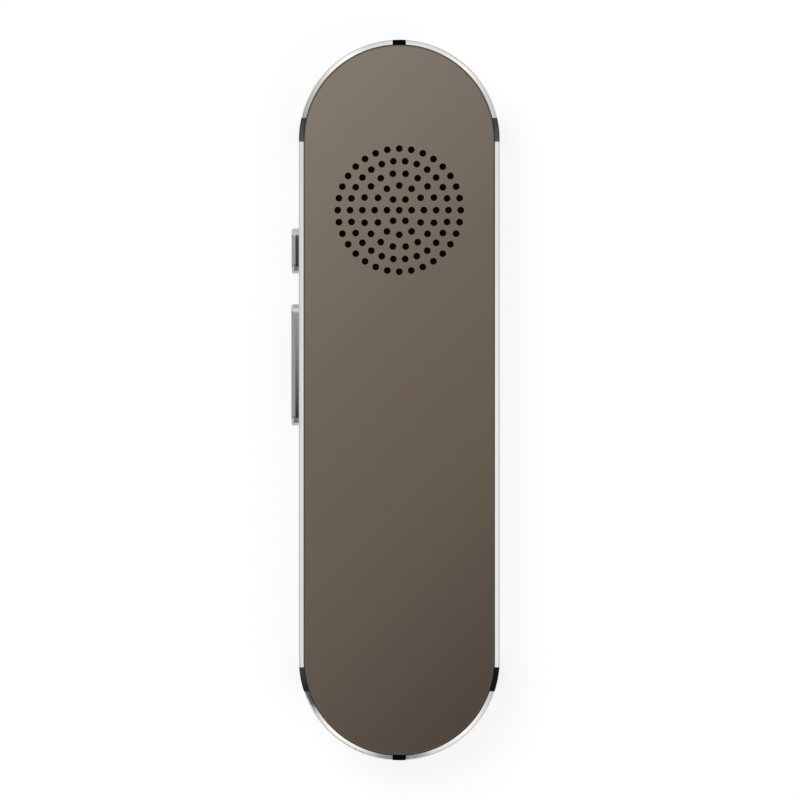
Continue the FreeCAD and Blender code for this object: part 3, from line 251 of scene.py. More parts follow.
# %% Brushed lines
def make_brushed_lines():
    group, given, result = open_group(
        "Brushed lines", {"Lines per metre": 9000.0, "Stretch": 60.0}, {"Height": FLOAT, "Mask": FLOAT})
    squeeze = group.nodes.new("ShaderNodeCombineXYZ")
    squeeze.inputs["Y"].default_value = 1.0
    squeeze.inputs["Z"].default_value = 1.0
    narrow = math_node(group, "DIVIDE", 1.0, given.outputs["Stretch"])
    group.links.new(narrow, squeeze.inputs["X"])
    stretched = group.nodes.new("ShaderNodeVectorMath")
    stretched.operation = "MULTIPLY"
    group.links.new(object_place(group), stretched.inputs[0])
    group.links.new(squeeze.outputs[0], stretched.inputs[1])
    noise = group.nodes.new("ShaderNodeTexNoise")
    noise.inputs["Detail"].default_value = 2.0
    group.links.new(stretched.outputs[0], noise.inputs["Vector"])
    group.links.new(given.outputs["Lines per metre"], noise.inputs["Scale"])
    group.links.new(noise.outputs["Fac"], result.inputs["Height"])
    group.links.new(level_node(group, noise.outputs["Fac"], 0.3, 0.7), result.inputs["Mask"])
    return group


brushed_lines = make_brushed_lines()

# %% [markdown]
# A printed circuit shows its copper as straight tracks under the solder mask. Snapping the
# surface place to a grid and asking a random value of each cell gives runs of straight track
# along one axis, broken where a cell has none, which is close enough for a board inside a closed case.


# %% Printed tracks
def make_tracks():
    group, given, result = open_group(
        "Printed tracks", {"Tracks per metre": 1400.0, "Share": 0.5}, {"Mask": FLOAT})
    split = group.nodes.new("ShaderNodeSeparateXYZ")
    group.links.new(object_place(group), split.inputs[0])
    across = math_node(group, "MULTIPLY", split.outputs["X"], given.outputs["Tracks per metre"])
    along = math_node(group, "MULTIPLY", split.outputs["Y"], given.outputs["Tracks per metre"])
    cell = group.nodes.new("ShaderNodeCombineXYZ")
    group.links.new(math_node(group, "FLOOR", across), cell.inputs["X"])
    slow = math_node(group, "MULTIPLY", along, 0.06)
    group.links.new(math_node(group, "FLOOR", slow), cell.inputs["Y"])
    chance = group.nodes.new("ShaderNodeTexWhiteNoise")
    chance.noise_dimensions = "2D"
    group.links.new(cell.outputs[0], chance.inputs["Vector"])
    present = math_node(group, "LESS_THAN", chance.outputs["Value"], given.outputs["Share"])
    inside = math_node(group, "FRACT", across)
    band = math_node(group, "LESS_THAN", math_node(group, "ABSOLUTE",
                                                   math_node(group, "SUBTRACT", inside, 0.5)), 0.25)
    group.links.new(math_node(group, "MULTIPLY", present, band), result.inputs["Mask"])
    return group


tracks = make_tracks()

# %% [markdown]
# Both the rim and the plate need to know how far a point lies from the body's middle line, and
# which way is outwards. The middle line is the straight segment between the centres of the two
# end arcs, so the nearest point on it is found by holding Y between its ends.


# %% Distance to the body's middle line
def make_outline_distance():
    group, given, result = open_group("Outline distance", {}, {"Distance": FLOAT, "Outwards": VECTOR})
    split = group.nodes.new("ShaderNodeSeparateXYZ")
    group.links.new(object_place(group), split.inputs[0])
    held = math_node(group, "MINIMUM", split.outputs["Y"], STRAIGHT_END)
    held = math_node(group, "MAXIMUM", held, -STRAIGHT_END)
    across = group.nodes.new("ShaderNodeCombineXYZ")
    group.links.new(split.outputs["X"], across.inputs["X"])
    group.links.new(math_node(group, "SUBTRACT", split.outputs["Y"], held), across.inputs["Y"])
    for operation, output, label in (("LENGTH", "Value", "Distance"), ("NORMALIZE", "Vector", "Outwards")):
        node = group.nodes.new("ShaderNodeVectorMath")
        node.operation = operation
        group.links.new(across.outputs[0], node.inputs[0])
        group.links.new(node.outputs[output], result.inputs[label])
    return group


outline_distance = make_outline_distance()

# %% [markdown]
# The rim looks flat, but a polishing wheel leaves it crowned: its face leans outwards, so every
# bend of the outline mirrors another side of the room. The group tips the normal that way.


# %% Crowned rim
def make_crowned_rim():
    group, given, result = open_group("Crowned rim", {"Lean": 0.3}, {"Normal": VECTOR})
    lean = group.nodes.new("ShaderNodeVectorMath")
    lean.operation = "SCALE"
    group.links.new(place_group(group, outline_distance)["Outwards"], lean.inputs[0])
    group.links.new(given.outputs["Lean"], lean.inputs["Scale"])
    tipped = group.nodes.new("ShaderNodeVectorMath")
    tipped.operation = "ADD"
    group.links.new(group.nodes.new("ShaderNodeNewGeometry").outputs["Normal"], tipped.inputs[0])
    group.links.new(lean.outputs[0], tipped.inputs[1])
    final = group.nodes.new("ShaderNodeVectorMath")
    final.operation = "NORMALIZE"
    group.links.new(tipped.outputs[0], final.inputs[0])
    group.links.new(final.outputs[0], result.inputs["Normal"])
    return group


crowned_rim = make_crowned_rim()

# %% [markdown]
# Each finish is a Principled surface. Values that are the same all over are set on its sockets.
# Only what changes over the surface comes in through nodes, so these helpers turn screen tones
# into colours, start a finish, mix or grade colours, add a bump and measure along an axis.


# %% Helpers for a finish
def linear(*tones):
    """Turn screen tones from 0 to 255 into the linear colour that a shader wants."""
    shares = [tone / 255 for tone in tones]
    return tuple(s / 12.92 if s <= 0.04045 else ((s + 0.055) / 1.055) ** 2.4 for s in shares) + (1.0,)


def grey(tone):
    return linear(tone, tone, tone)


def start_finish(name, **values):
    """Make a material with a Principled surface and set its plain sockets by name."""
    finish = bpy.data.materials.new(name)
    finish.use_nodes = True
    surface = finish.node_tree.nodes["Principled BSDF"]
    for label, value in values.items():
        surface.inputs[label.replace("_", " ")].default_value = value
    return finish, finish.node_tree, surface


def mix_colours(tree, mask, first, second):
    """Mix two colours, each a tone or another node's output, by a mask."""
    node = tree.nodes.new("ShaderNodeMix")
    node.data_type = "RGBA"
    tree.links.new(mask, node.inputs["Factor"])
    for socket, value in ((node.inputs[6], first), (node.inputs[7], second)):
        if isinstance(value, bpy.types.NodeSocket):
            tree.links.new(value, socket)
        else:
            socket.default_value = value
    return node.outputs[2]


def ramp(tree, value, stops):
    """Grade a colour evenly by a value from 0 to 1; a stop is a place and a colour."""
    node = tree.nodes.new("ShaderNodeValToRGB")
    node.color_ramp.interpolation = "LINEAR"
    elements = node.color_ramp.elements
    while len(elements) < len(stops):
        elements.new(0.5)
    for element, (where, colour) in zip(elements, stops):
        element.position = where
        element.color = colour
    tree.links.new(value, node.inputs["Fac"])
    return node.outputs["Color"]


def add_bump(tree, surface, height, depth, strength=1.0):
    """Feed a height through a Bump node; depth is the real height of the bumps in metres."""
    node = tree.nodes.new("ShaderNodeBump")
    node.inputs["Strength"].default_value = strength
    node.inputs["Distance"].default_value = depth
    tree.links.new(height, node.inputs["Height"])
    tree.links.new(node.outputs["Normal"], surface.inputs["Normal"])


def along_axis(tree, axis, start, end):
    """Return how far a point lies from start to end along one axis, from 0 to 1."""
    split = tree.nodes.new("ShaderNodeSeparateXYZ")
    tree.links.new(object_place(tree), split.inputs[0])
    node = tree.nodes.new("ShaderNodeMapRange")
    tree.links.new(split.outputs[axis], node.inputs["Value"])
    node.inputs["From Min"].default_value = start
    node.inputs["From Max"].default_value = end
    return node.outputs["Result"]


finishes = {}

# %% [markdown]
# The rim is metal with a mirror polish. Its brightness comes from the room it
# mirrors, so its own colour is pale and even, slightly warm. A very low roughness, a little
# uneven in soft patches, keeps it a mirror, and the crowned normal gives the light and dark
# stretches that run round its bends.


# %% Polished rim
def polished_rim():
    finish, tree, surface = start_finish("Polished rim", Metallic=1.0)
    marks = place_group(tree, handling_marks, Patches_per_metre=120.0)
    colour = mix_colours(tree, marks["Patches"], (0.90, 0.885, 0.86, 1), (0.92, 0.905, 0.885, 1))
    tree.links.new(colour, surface.inputs["Base Color"])
    tree.links.new(level_node(tree, marks["Patches"], 0.0, 1.0, 0.05, 0.08), surface.inputs["Roughness"])
    tree.links.new(place_group(tree, crowned_rim, Lean=0.36)["Normal"], surface.inputs["Normal"])
    return finish


finishes["polished_frame"] = polished_rim()

# %% [markdown]
# Six dark blocks interrupt the metal so that the aerial inside can work. They are a hard resin,
# ground flush with the rim and polished with it, so they are smooth, nearly black and a little
# glossy. The blocks in the sides catch some of the room and look charcoal. Their own gloss is
# low here, so that reflection is painted into their colour: a ramp along the body gives each
# block a painted reflection, charcoal on the sides, near black at the ends and darker at the
# right of the foot.


# %% Dark resin of the rim's blocks, with painted reflections
def dark_resin():
    finish, tree, surface = start_finish("Dark resin", IOR=1.5)
    grain = place_group(tree, fine_grain, Cells_per_metre=9000.0)
    along = along_axis(tree, "Y", -HALF_WIDTH - STRAIGHT_END, HALF_WIDTH + STRAIGHT_END)
    # Painted reflection: tones set by place along the body, charcoal on the side blocks and near black at the
    # ends.
    tone = ramp(tree, along, [(0.02, grey(6)), (0.094, grey(34)), (0.130, grey(66)),
                              (0.850, grey(92)), (0.895, grey(62)), (0.97, grey(6))])
    # Painted reflection: the block at the right of the foot is painted darker.
    right_foot_painted_reflection = math_node(tree, "MULTIPLY", along_axis(tree, "X", 0.0, HALF_WIDTH / 2),
                           along_axis(tree, "Y", 0.0, -HALF_WIDTH), clamp=True)
    tone = mix_colours(tree, right_foot_painted_reflection, tone, grey(24))
    tree.links.new(tone, surface.inputs["Base Color"])
    tree.links.new(level_node(tree, grain["Mask"], 0.0, 1.0, 0.28, 0.38), surface.inputs["Roughness"])
    surface.inputs["Specular IOR Level"].default_value = 0.02
    return finish


finishes["inlay_dark"] = dark_resin()

# %% [markdown]
# The back plate is aluminium with a satin lacquer in warm taupe. Its colour carries a painted
# sheen and shade: lighter towards the head's left corner and deeper towards the foot's right
# corner, from a ramp along a slanted line in object space. Fine grain breaks up the gloss, and
# the edges of the plate and of its holes are rubbed a little lighter. A thin band of painted
# shade, in grey, follows its outer edge, where the seam beside the frame lies.

# %% Tones of the taupe lacquer with painted sheen and shade, from the foot's right corner to the head's left corner
TAUPE_WITH_PAINTED_LIGHT_STOPS = (
    (0.00, linear(81, 70, 61)),
    (0.33, linear(104, 92, 81)),
    (0.60, linear(113, 101, 90)),
    (1.00, linear(133, 122, 110)),
)
PAINTED_FADE_HALF = 72 * MM
SEAM_SHADE_BAND = 0.35 * MM


def taupe_lacquer():
    finish, tree, surface = start_finish("Taupe lacquer", Metallic=0.0, IOR=1.45)
    split = tree.nodes.new("ShaderNodeSeparateXYZ")
    tree.links.new(object_place(tree), split.inputs[0])
    # Painted light: the taupe is painted lighter towards the head's left corner and darker towards the foot's
    # right corner, a painted sheen and shade.
    slanted = math_node(tree, "SUBTRACT", split.outputs["Y"], split.outputs["X"])
    share = math_node(tree, "DIVIDE", math_node(tree, "ADD", slanted, PAINTED_FADE_HALF), 2 * PAINTED_FADE_HALF, clamp=True)
    painted_light_fade = ramp(tree, share, TAUPE_WITH_PAINTED_LIGHT_STOPS)
    distance = place_group(tree, outline_distance)["Distance"]
    plate_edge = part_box("back_panel")[1].x
    # Painted shade: a thin grey band along the plate's outer edge, where the seam beside the frame is in
    # shade.
    band = level_node(tree, distance, plate_edge - SEAM_SHADE_BAND, plate_edge - SEAM_SHADE_BAND / 2)
    painted_light_fade = mix_colours(tree, math_node(tree, "MULTIPLY", band, 0.6), painted_light_fade, grey(88))
    grain = place_group(tree, fine_grain, Cells_per_metre=7000.0, Detail=3.0)
    wear = place_group(tree, edge_wear, Radius=0.00006, Spots_per_metre=900.0, Reach=0.35)
    rubbed = mix_colours(tree, math_node(tree, "MULTIPLY", wear["Mask"], 0.3), painted_light_fade, linear(150, 138, 124))
    tree.links.new(rubbed, surface.inputs["Base Color"])
    tree.links.new(level_node(tree, grain["Mask"], 0.0, 1.0, 0.42, 0.52), surface.inputs["Roughness"])
    surface.inputs["Specular IOR Level"].default_value = 0.15
    add_bump(tree, surface, grain["Height"], 0.000004, 0.25)
    return finish


finishes["panel_taupe"] = taupe_lacquer()

# %% [markdown]
# The key face is black glass. Glass has no grain, so only grease patches and a few scratches
# change its gloss. A thin dark tint in the base keeps it from reading as a hole in the scene.


# %% Black gloss of the key face
def black_gloss():
    finish, tree, surface = start_finish("Black gloss", IOR=1.52, Coat_Weight=0.4, Coat_Roughness=0.03)
    marks = place_group(tree, handling_marks, Patches_per_metre=45.0, Scratches_per_metre=160.0)
    colour = mix_colours(tree, marks["Patches"], (0.006, 0.006, 0.007, 1), (0.010, 0.010, 0.011, 1))
    tree.links.new(colour, surface.inputs["Base Color"])
    gloss = math_node(tree, "MAXIMUM", math_node(tree, "MULTIPLY", marks["Patches"], 0.5), marks["Scratches"])
    tree.links.new(level_node(tree, gloss, 0.0, 1.0, 0.05, 0.22), surface.inputs["Roughness"])
    return finish


finishes["front_gloss"] = black_gloss()

# %% [markdown]
# The side keys are chromed. They look dark beside the rim and pale at their outer edge, because
# the bar's rounded top mirrors the frame's own wall first and the bright room last. Their ends
# turn up pale again. A room this simple can't give that by itself, so these reflections are
# painted into the chrome's colour: a painted dark reflection blending along the bar beside the
# rim, a plain painted pale reflection at its outer edge and a painted highlight at its ends.

# %% Chrome of the side keys, with painted reflections
KEY_DARK_REFLECTION_ZONE = 0.42
KEY_REFLECTION_BLEND = 0.15
KEY_END_PAINTED_HIGHLIGHT = 230


def key_chrome(name, node, painted_foot_reflection, painted_head_reflection, painted_edge_reflection, painted_highlight_end_share):
    low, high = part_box(node)
    finish, tree, surface = start_finish(name, Metallic=1.0)
    outwards = along_axis(tree, "X", -HALF_WIDTH, low.x)
    upwards = along_axis(tree, "Y", low.y, high.y)
    # Painted reflection: dark beside the rim, grading from the foot to the head, with a pale painted
    # reflection at the outer edge.
    inner = mix_colours(tree, upwards, grey(painted_foot_reflection), grey(painted_head_reflection))
    outer = level_node(tree, outwards, KEY_DARK_REFLECTION_ZONE, KEY_DARK_REFLECTION_ZONE + KEY_REFLECTION_BLEND)
    body = mix_colours(tree, outer, inner, grey(painted_edge_reflection))
    # Painted highlight: pale at both ends of the bar.
    from_middle = math_node(tree, "ABSOLUTE", math_node(tree, "SUBTRACT", upwards, 0.5))
    painted_highlight_at_ends = level_node(tree, from_middle, 0.5 - 1.5 * painted_highlight_end_share, 0.5 - painted_highlight_end_share)
    tree.links.new(mix_colours(tree, painted_highlight_at_ends, body, grey(KEY_END_PAINTED_HIGHLIGHT)), surface.inputs["Base Color"])
    marks = place_group(tree, handling_marks, Patches_per_metre=200.0)
    tree.links.new(level_node(tree, marks["Patches"], 0.0, 1.0, 0.08, 0.14), surface.inputs["Roughness"])
    return finish


# Each key's three tones are painted reflections: beside the rim at the foot and at the head, and at its outer
# edge; the last number is the share of its length painted with the end highlight.
finishes["power_key"] = key_chrome("Power key chrome", "power_key", 60, 90, 185, 0.16)
finishes["volume_rocker"] = key_chrome("Volume key chrome", "volume_rocker", 30, 185, 175, 0.05)
print(len(finishes), "finishes so far")

# %% [markdown]
# The talk keys are bead-blasted metal caps with a dished top. Blasting gives a matt, sparkling
# grain, and the thumb polishes the rim and the raised dots first.


# %% Blasted metal of the talk keys
def blasted_metal():
    finish, tree, surface = start_finish("Blasted metal", Metallic=1.0)
    grain = place_group(tree, fine_grain, Cells_per_metre=9000.0, Detail=2.0)
    wear = place_group(tree, edge_wear, Radius=0.00018, Spots_per_metre=1200.0, Reach=0.45)
    tone = mix_colours(tree, wear["Mask"], (0.34, 0.33, 0.31, 1), (0.72, 0.70, 0.67, 1))
    tree.links.new(tone, surface.inputs["Base Color"])
    rough = math_node(tree, "SUBTRACT", 0.38, math_node(tree, "MULTIPLY", wear["Mask"], 0.18))
    tree.links.new(rough, surface.inputs["Roughness"])
    add_bump(tree, surface, grain["Height"], 0.00001, 0.35)
    return finish


finishes["talk_key_metal"] = blasted_metal()

# %% [markdown]
# The plain inner materials differ only in tone, gloss and grain: moulded plastics, rubber, foam
# and tape. One function with a table of named values says this more clearly than a page of
# near-copies. Tones are linear, and the grain's height is in metres.

# %% Moulded and soft materials
PLAIN_FINISHES = {
    "chassis_plastic": dict(
        tone=(0.035, 0.035, 0.038), worn=(0.06, 0.06, 0.064), rough=0.62,
        cells=5000, bump=8e-6),
    "socket_plastic": dict(
        tone=(0.55, 0.53, 0.47), worn=(0.66, 0.64, 0.58), rough=0.48,
        cells=6000, bump=3e-6),
    "rubber": dict(
        tone=(0.02, 0.02, 0.02), worn=(0.04, 0.04, 0.04), rough=0.85,
        cells=4000, bump=8e-6),
    "foam": dict(
        tone=(0.03, 0.03, 0.032), worn=(0.06, 0.06, 0.06), rough=0.95,
        cells=2500, bump=5e-5),
    "tape": dict(
        tone=(0.02, 0.02, 0.021), worn=(0.035, 0.035, 0.035), rough=0.7,
        cells=3000, bump=6e-6),
    "cone": dict(
        tone=(0.008, 0.0075, 0.007), worn=(0.014, 0.013, 0.012), rough=0.8,
        cells=3500, bump=1e-5),
    "chip": dict(
        tone=(0.012, 0.012, 0.013), worn=(0.03, 0.03, 0.03), rough=0.55,
        cells=6000, bump=5e-6),
}


def plain_finish(slot, tone, worn, rough, cells, bump):
    finish, tree, surface = start_finish(slot.replace("_", " ").capitalize(), IOR=1.48)
    grain = place_group(tree, fine_grain, Cells_per_metre=float(cells))
    wear = place_group(tree, edge_wear, Radius=0.00015, Reach=0.3)
    colour = mix_colours(tree, wear["Mask"], tone + (1,), worn + (1,))
    tree.links.new(colour, surface.inputs["Base Color"])
    tree.links.new(level_node(tree, grain["Mask"], 0.0, 1.0, rough - 0.05, rough + 0.05),
                   surface.inputs["Roughness"])
    add_bump(tree, surface, grain["Height"], bump, 0.4)
    return finish


for slot, values in PLAIN_FINISHES.items():
    finishes[slot] = plain_finish(slot, **values)

# %% [markdown]
# Bare metals inside: bright steel for the shield, screws and socket shell, gold on contacts,
# enamelled copper on the voice coil. They share brushed lines, and differ in colour and gloss.

# %% Bare metals
METALS = {
    "steel": dict(tone=(0.56, 0.56, 0.55), worn=(0.72, 0.72, 0.71), rough=0.28, lines=5000.0),
    "contact_gold": dict(tone=(0.83, 0.60, 0.27), worn=(0.92, 0.72, 0.38), rough=0.22, lines=7000.0),
    "copper": dict(tone=(0.62, 0.26, 0.12), worn=(0.78, 0.38, 0.2), rough=0.35, lines=9000.0),
}


def bare_metal(slot, tone, worn, rough, lines):
    finish, tree, surface = start_finish(slot.replace("_", " ").capitalize(), Metallic=1.0)
    brush = place_group(tree, brushed_lines, Lines_per_metre=lines)
    wear = place_group(tree, edge_wear, Radius=0.0001, Reach=0.4)
    colour = mix_colours(tree, wear["Mask"], tone + (1,), worn + (1,))
    tree.links.new(colour, surface.inputs["Base Color"])
    tree.links.new(level_node(tree, brush["Mask"], 0.0, 1.0, rough - 0.06, rough + 0.06),
                   surface.inputs["Roughness"])
    add_bump(tree, surface, brush["Height"], 2e-6, 0.3)
    return finish


for slot, values in METALS.items():
    finishes[slot] = bare_metal(slot, **values)

# %% [markdown]
# The board and the flat cables are copper under a coloured film. Tracks show as slightly
# lighter, slightly raised lines through it.


# %% Board and flat cable
def printed_film(name, film, track, count, share, rough):
    finish, tree, surface = start_finish(name, IOR=1.5)
    lines = place_group(tree, tracks, Tracks_per_metre=count, Share=share)
    grain = place_group(tree, fine_grain, Cells_per_metre=5000.0)
    colour = mix_colours(tree, lines["Mask"], film, track)
    tree.links.new(colour, surface.inputs["Base Color"])
    tree.links.new(level_node(tree, grain["Mask"], 0.0, 1.0, rough - 0.05, rough + 0.05),
                   surface.inputs["Roughness"])
    add_bump(tree, surface, lines["Mask"], 1.5e-5, 0.5)
    return finish


finishes["board"] = printed_film("Board", (0.004, 0.03, 0.018, 1), (0.012, 0.075, 0.04, 1),
                                 1400.0, 0.45, 0.35)
finishes["flex"] = printed_film("Flat cable", (0.22, 0.10, 0.02, 1), (0.40, 0.20, 0.05, 1), 2200.0, 0.7, 0.4)

# %% [markdown]
# The cell is wrapped in a silver-grey laminated foil with a fine crinkle, the cloth behind the
# speaker holes is a black weave that almost swallows light, and the light pipe is clear resin
# with a frosted end.


# %% Foil, cloth and light pipe
def battery_foil():
    finish, tree, surface = start_finish("Battery foil", Metallic=0.6)
    crinkle = place_group(tree, fine_grain, Cells_per_metre=350.0, Detail=6.0)
    colour = mix_colours(tree, crinkle["Mask"], (0.35, 0.36, 0.37, 1), (0.48, 0.49, 0.5, 1))
    tree.links.new(colour, surface.inputs["Base Color"])
    tree.links.new(level_node(tree, crinkle["Mask"], 0.0, 1.0, 0.32, 0.45), surface.inputs["Roughness"])
    add_bump(tree, surface, crinkle["Height"], 0.0001, 0.5)
    return finish


def acoustic_cloth():
    finish, tree, surface = start_finish("Acoustic cloth", IOR=1.3)
    threads = place_group(tree, weave, Threads_per_metre=3600.0)
    colour = mix_colours(tree, threads["Holes"], (0.0105, 0.0075, 0.0040, 1), (0.002, 0.0015, 0.001, 1))
    tree.links.new(colour, surface.inputs["Base Color"])
    surface.inputs["Roughness"].default_value = 0.9
    surface.inputs["Specular IOR Level"].default_value = 0.1
    add_bump(tree, surface, threads["Height"], 0.00004, 0.6)
    return finish


def light_resin():
    finish, tree, surface = start_finish("Light pipe resin", IOR=1.49, Transmission_Weight=0.75)
    frost = place_group(tree, fine_grain, Cells_per_metre=8000.0)
    colour = mix_colours(tree, frost["Mask"], (0.80, 0.82, 0.84, 1), (0.90, 0.91, 0.92, 1))
    tree.links.new(colour, surface.inputs["Base Color"])
    tree.links.new(level_node(tree, frost["Mask"], 0.0, 1.0, 0.30, 0.42), surface.inputs["Roughness"])
    return finish


finishes["battery_foil"] = battery_foil()
finishes["mesh"] = acoustic_cloth()
finishes["light"] = light_resin()
print(len(finishes), "finishes")

# %% [markdown]
# Each solid came with one material slot, named after the finish that the CAD record asks for.
# A finish that is made for one solid goes by that solid's name, and the rest by the slot's.

# %% Dress the solids
for name, solid in solids.items():
    slot = solid.data.materials[0].name.split(".")[0]
    solid.data.materials[0] = finishes[name] if name in finishes else finishes[slot]
print("dressed", len(solids), "solids")

# %% [markdown]
# Some pieces are too small or too many for the CAD model. They are boxes and bars that repeat,
# so one helper makes a mesh of many boxes with softened edges. A box is given by its lowest and
# highest corner.


# %% A mesh of many small boxes
def many_boxes(name, boxes, slot, body="root", bevel=0.00003):
    vertices, faces = [], []
    sides = ((0, 2, 3, 1), (4, 5, 7, 6), (0, 1, 5, 4), (2, 6, 7, 3), (0, 4, 6, 2), (1, 3, 7, 5))
    for low, high in boxes:
        first = len(vertices)
        for corner in range(8):
            pick = (corner & 1, corner >> 1 & 1, corner >> 2 & 1)
            vertices.append([high[axis] if pick[axis] else low[axis] for axis in range(3)])
        faces.extend([[first + index for index in side] for side in sides])
    mesh = bpy.data.meshes.new(name)
    mesh.from_pydata(vertices, [], faces)
    piece = bpy.data.objects.new(name, mesh)
    bpy.context.scene.collection.objects.link(piece)
    rounding = piece.modifiers.new("Softened edges", "BEVEL")
    rounding.width = bevel
    rounding.segments = 2
    mesh.materials.append(finishes[slot])
    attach(piece, body)
    print(name, len(boxes), "boxes")
    return piece


# %% [markdown]
# The socket's tongue carries twelve gold contacts on each face, half a millimetre apart. They
# are let in flush in the real part; here each stands a hair above the tongue so that it shows.

# %% Contacts of the charging socket
CONTACT_COUNT = 12
CONTACT_PITCH = 0.5 * MM
CONTACT_HALF = 0.13 * MM
CONTACT_RISE = 0.02 * MM
TONGUE_HALF_DEPTH = 0.35 * MM
CONTACT_LENGTH = 3.2 * MM
OUTER_CONTACT_START = 0.35 * MM
INNER_CONTACT_START = 0.7 * MM
tongue_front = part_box("usb_tongue")[0].y
contacts = []
for index in range(CONTACT_COUNT):
    middle = (index - (CONTACT_COUNT - 1) / 2) * CONTACT_PITCH
    outer = index in (0, CONTACT_COUNT - 1)
    start = tongue_front + (OUTER_CONTACT_START if outer else INNER_CONTACT_START)
    for face in (-1, 1):
        level = SIDE_LEVEL + face * TONGUE_HALF_DEPTH
        near_z, far_z = sorted((level - face * CONTACT_RISE, level + face * CONTACT_RISE))
        contacts.append(((middle - CONTACT_HALF, start, near_z),
                         (middle + CONTACT_HALF, tongue_front + CONTACT_LENGTH, far_z)))
many_boxes("socket_contacts", contacts, "contact_gold", bevel=0.00001)

# %% [markdown]
# Beside the chips sit rows of small capacitors and resistors, each a dark body between two
# tinned ends. They stand on the board's front face, in two columns along each of its sides.

# %% Small parts on the board
PART_LENGTH = 1.0 * MM
PART_WIDTH = 0.5 * MM
PART_HEIGHT = 0.35 * MM
END_LENGTH = 0.22 * MM
END_STEP = 0.02 * MM
ROW_COUNT = 9
ROW_START = 12.6 * MM
ROW_PITCH = 2.4 * MM
COLUMNS = (-12.4 * MM, -11.7 * MM, 11.4 * MM, 12.1 * MM)
board_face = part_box("main_board")[0].z
bodies_boxes, ends_boxes = [], []
for row in range(ROW_COUNT):
    y = ROW_START + row * ROW_PITCH
    for x in COLUMNS:
        low = (x - PART_WIDTH / 2, y - PART_LENGTH / 2, board_face - PART_HEIGHT)
        high = (x + PART_WIDTH / 2, y + PART_LENGTH / 2, board_face)
        bodies_boxes.append(((low[0], low[1] + END_LENGTH, low[2] + END_STEP),
                             (high[0], high[1] - END_LENGTH, high[2])))
        ends_boxes.append((low, (high[0], low[1] + END_LENGTH, high[2])))
        ends_boxes.append(((low[0], high[1] - END_LENGTH, low[2]), high))
many_boxes("board_capacitors", bodies_boxes, "chip")
many_boxes("board_solder_ends", ends_boxes, "steel")

# %% [markdown]
# The studio is plain: a pale floor and soft lamps overhead. The floor faces up only, so a view
# from below looks through it at the key face. It is a matt sheet that also glows for the
# camera, which makes it white while the object's shadow still shows, and less for mirror rays.

# %% Floor
FLOOR_HALF = 3.0
FLOOR_TONE = (0.27, 0.27, 0.27, 1)
FLOOR_GLOW = 0.77
MIRRORED_GLOW = 0.42
FLOOR_GAP = 0.05 * MM
floor_mesh = bpy.data.meshes.new("Floor")
floor_mesh.from_pydata([(-FLOOR_HALF, -FLOOR_HALF, 0), (FLOOR_HALF, -FLOOR_HALF, 0),
                        (FLOOR_HALF, FLOOR_HALF, 0), (-FLOOR_HALF, FLOOR_HALF, 0)], [], [(0, 1, 2, 3)])
floor = bpy.data.objects.new("Floor", floor_mesh)
floor.location.z = cad_low.z - FLOOR_GAP
bpy.context.scene.collection.objects.link(floor)


def floor_material():
    material = bpy.data.materials.new("White floor")
    material.use_nodes = True
    tree = material.node_tree
    tree.nodes.clear()
    diffuse = tree.nodes.new("ShaderNodeBsdfDiffuse")
    diffuse.inputs["Color"].default_value = FLOOR_TONE
    glow = tree.nodes.new("ShaderNodeEmission")
    path = tree.nodes.new("ShaderNodeLightPath")
    seen = math_node(tree, "MAXIMUM", path.outputs["Is Camera Ray"], path.outputs["Is Transmission Ray"])
    seen = math_node(tree, "MULTIPLY", seen, FLOOR_GLOW)
    mirrored = math_node(tree, "MULTIPLY", path.outputs["Is Glossy Ray"], MIRRORED_GLOW)
    tree.links.new(math_node(tree, "MAXIMUM", seen, mirrored), glow.inputs["Strength"])
    lit = tree.nodes.new("ShaderNodeAddShader")
    tree.links.new(diffuse.outputs[0], lit.inputs[0])
    tree.links.new(glow.outputs[0], lit.inputs[1])
    clear = tree.nodes.new("ShaderNodeBsdfTransparent")
    clear.inputs["Color"].default_value = (1, 1, 1, 1)
    facing = tree.nodes.new("ShaderNodeNewGeometry")
    choice = tree.nodes.new("ShaderNodeMixShader")
    tree.links.new(facing.outputs["Backfacing"], choice.inputs["Fac"])
    tree.links.new(lit.outputs[0], choice.inputs[1])
    tree.links.new(clear.outputs[0], choice.inputs[2])
    output = tree.nodes.new("ShaderNodeOutputMaterial")
    tree.links.new(choice.outputs[0], output.inputs["Surface"])
    return material


floor_mesh.materials.append(floor_material())

# %% [markdown]
# Polished metal shows whatever stands round it. A real set has white walls with darker gaps
# between them, so the world's brightness changes with the compass direction: brightest towards
# the four corners, darkest towards the foot and beside the left side's lower end. It also
# changes with height, from a dim foot to a pale band and a dim gap, which gives the rim's
# upright sides their shape. Straight up it is an even pale ceiling. All of these numbers are
# multiplied by the Background node's own colour, a light grey of 0.8, so the camera sees a
# pale grey world wherever the floor doesn't cover it.

# %% World
CEILING = 0.82
WALL_TONES = (
    (0.00, 1.18), (0.04, 0.75), (0.11, 1.00), (0.14, 1.36), (0.18, 1.08), (0.30, 1.02),
    (0.33, 1.40), (0.36, 1.24), (0.385, 0.88), (0.46, 0.47), (0.485, 0.98), (0.53, 1.00),
    (0.553, 0.18), (0.587, 0.11), (0.605, 0.90), (0.64, 1.40), (0.69, 1.15), (0.722, 0.45),
    (0.75, 0.28), (0.78, 0.44), (0.80, 0.95), (0.86, 1.35), (0.944, 0.66), (0.965, 1.00),
    (1.00, 1.18),
)
TONE_LIMIT = 1.5
CEILING_EDGE = 0.985
CEILING_FULL = 0.9995
ROOM_LIGHT = 0.62
HEIGHT_TONES = ((0.0, 0.45), (0.12, 0.55), (0.20, 0.85), (0.34, 0.90), (0.42, 0.55), (0.56, 1.0))
world = bpy.data.worlds.new("Studio")
bpy.context.scene.world = world
world.use_nodes = True
sky = world.node_tree
sky.nodes.clear()


def plain_stops(tones, limit):
    """Turn brightnesses into the stops of a ramp, as shares of the largest that it can hold."""
    return [(where, (tone / limit,) * 3 + (1.0,)) for where, tone in tones]


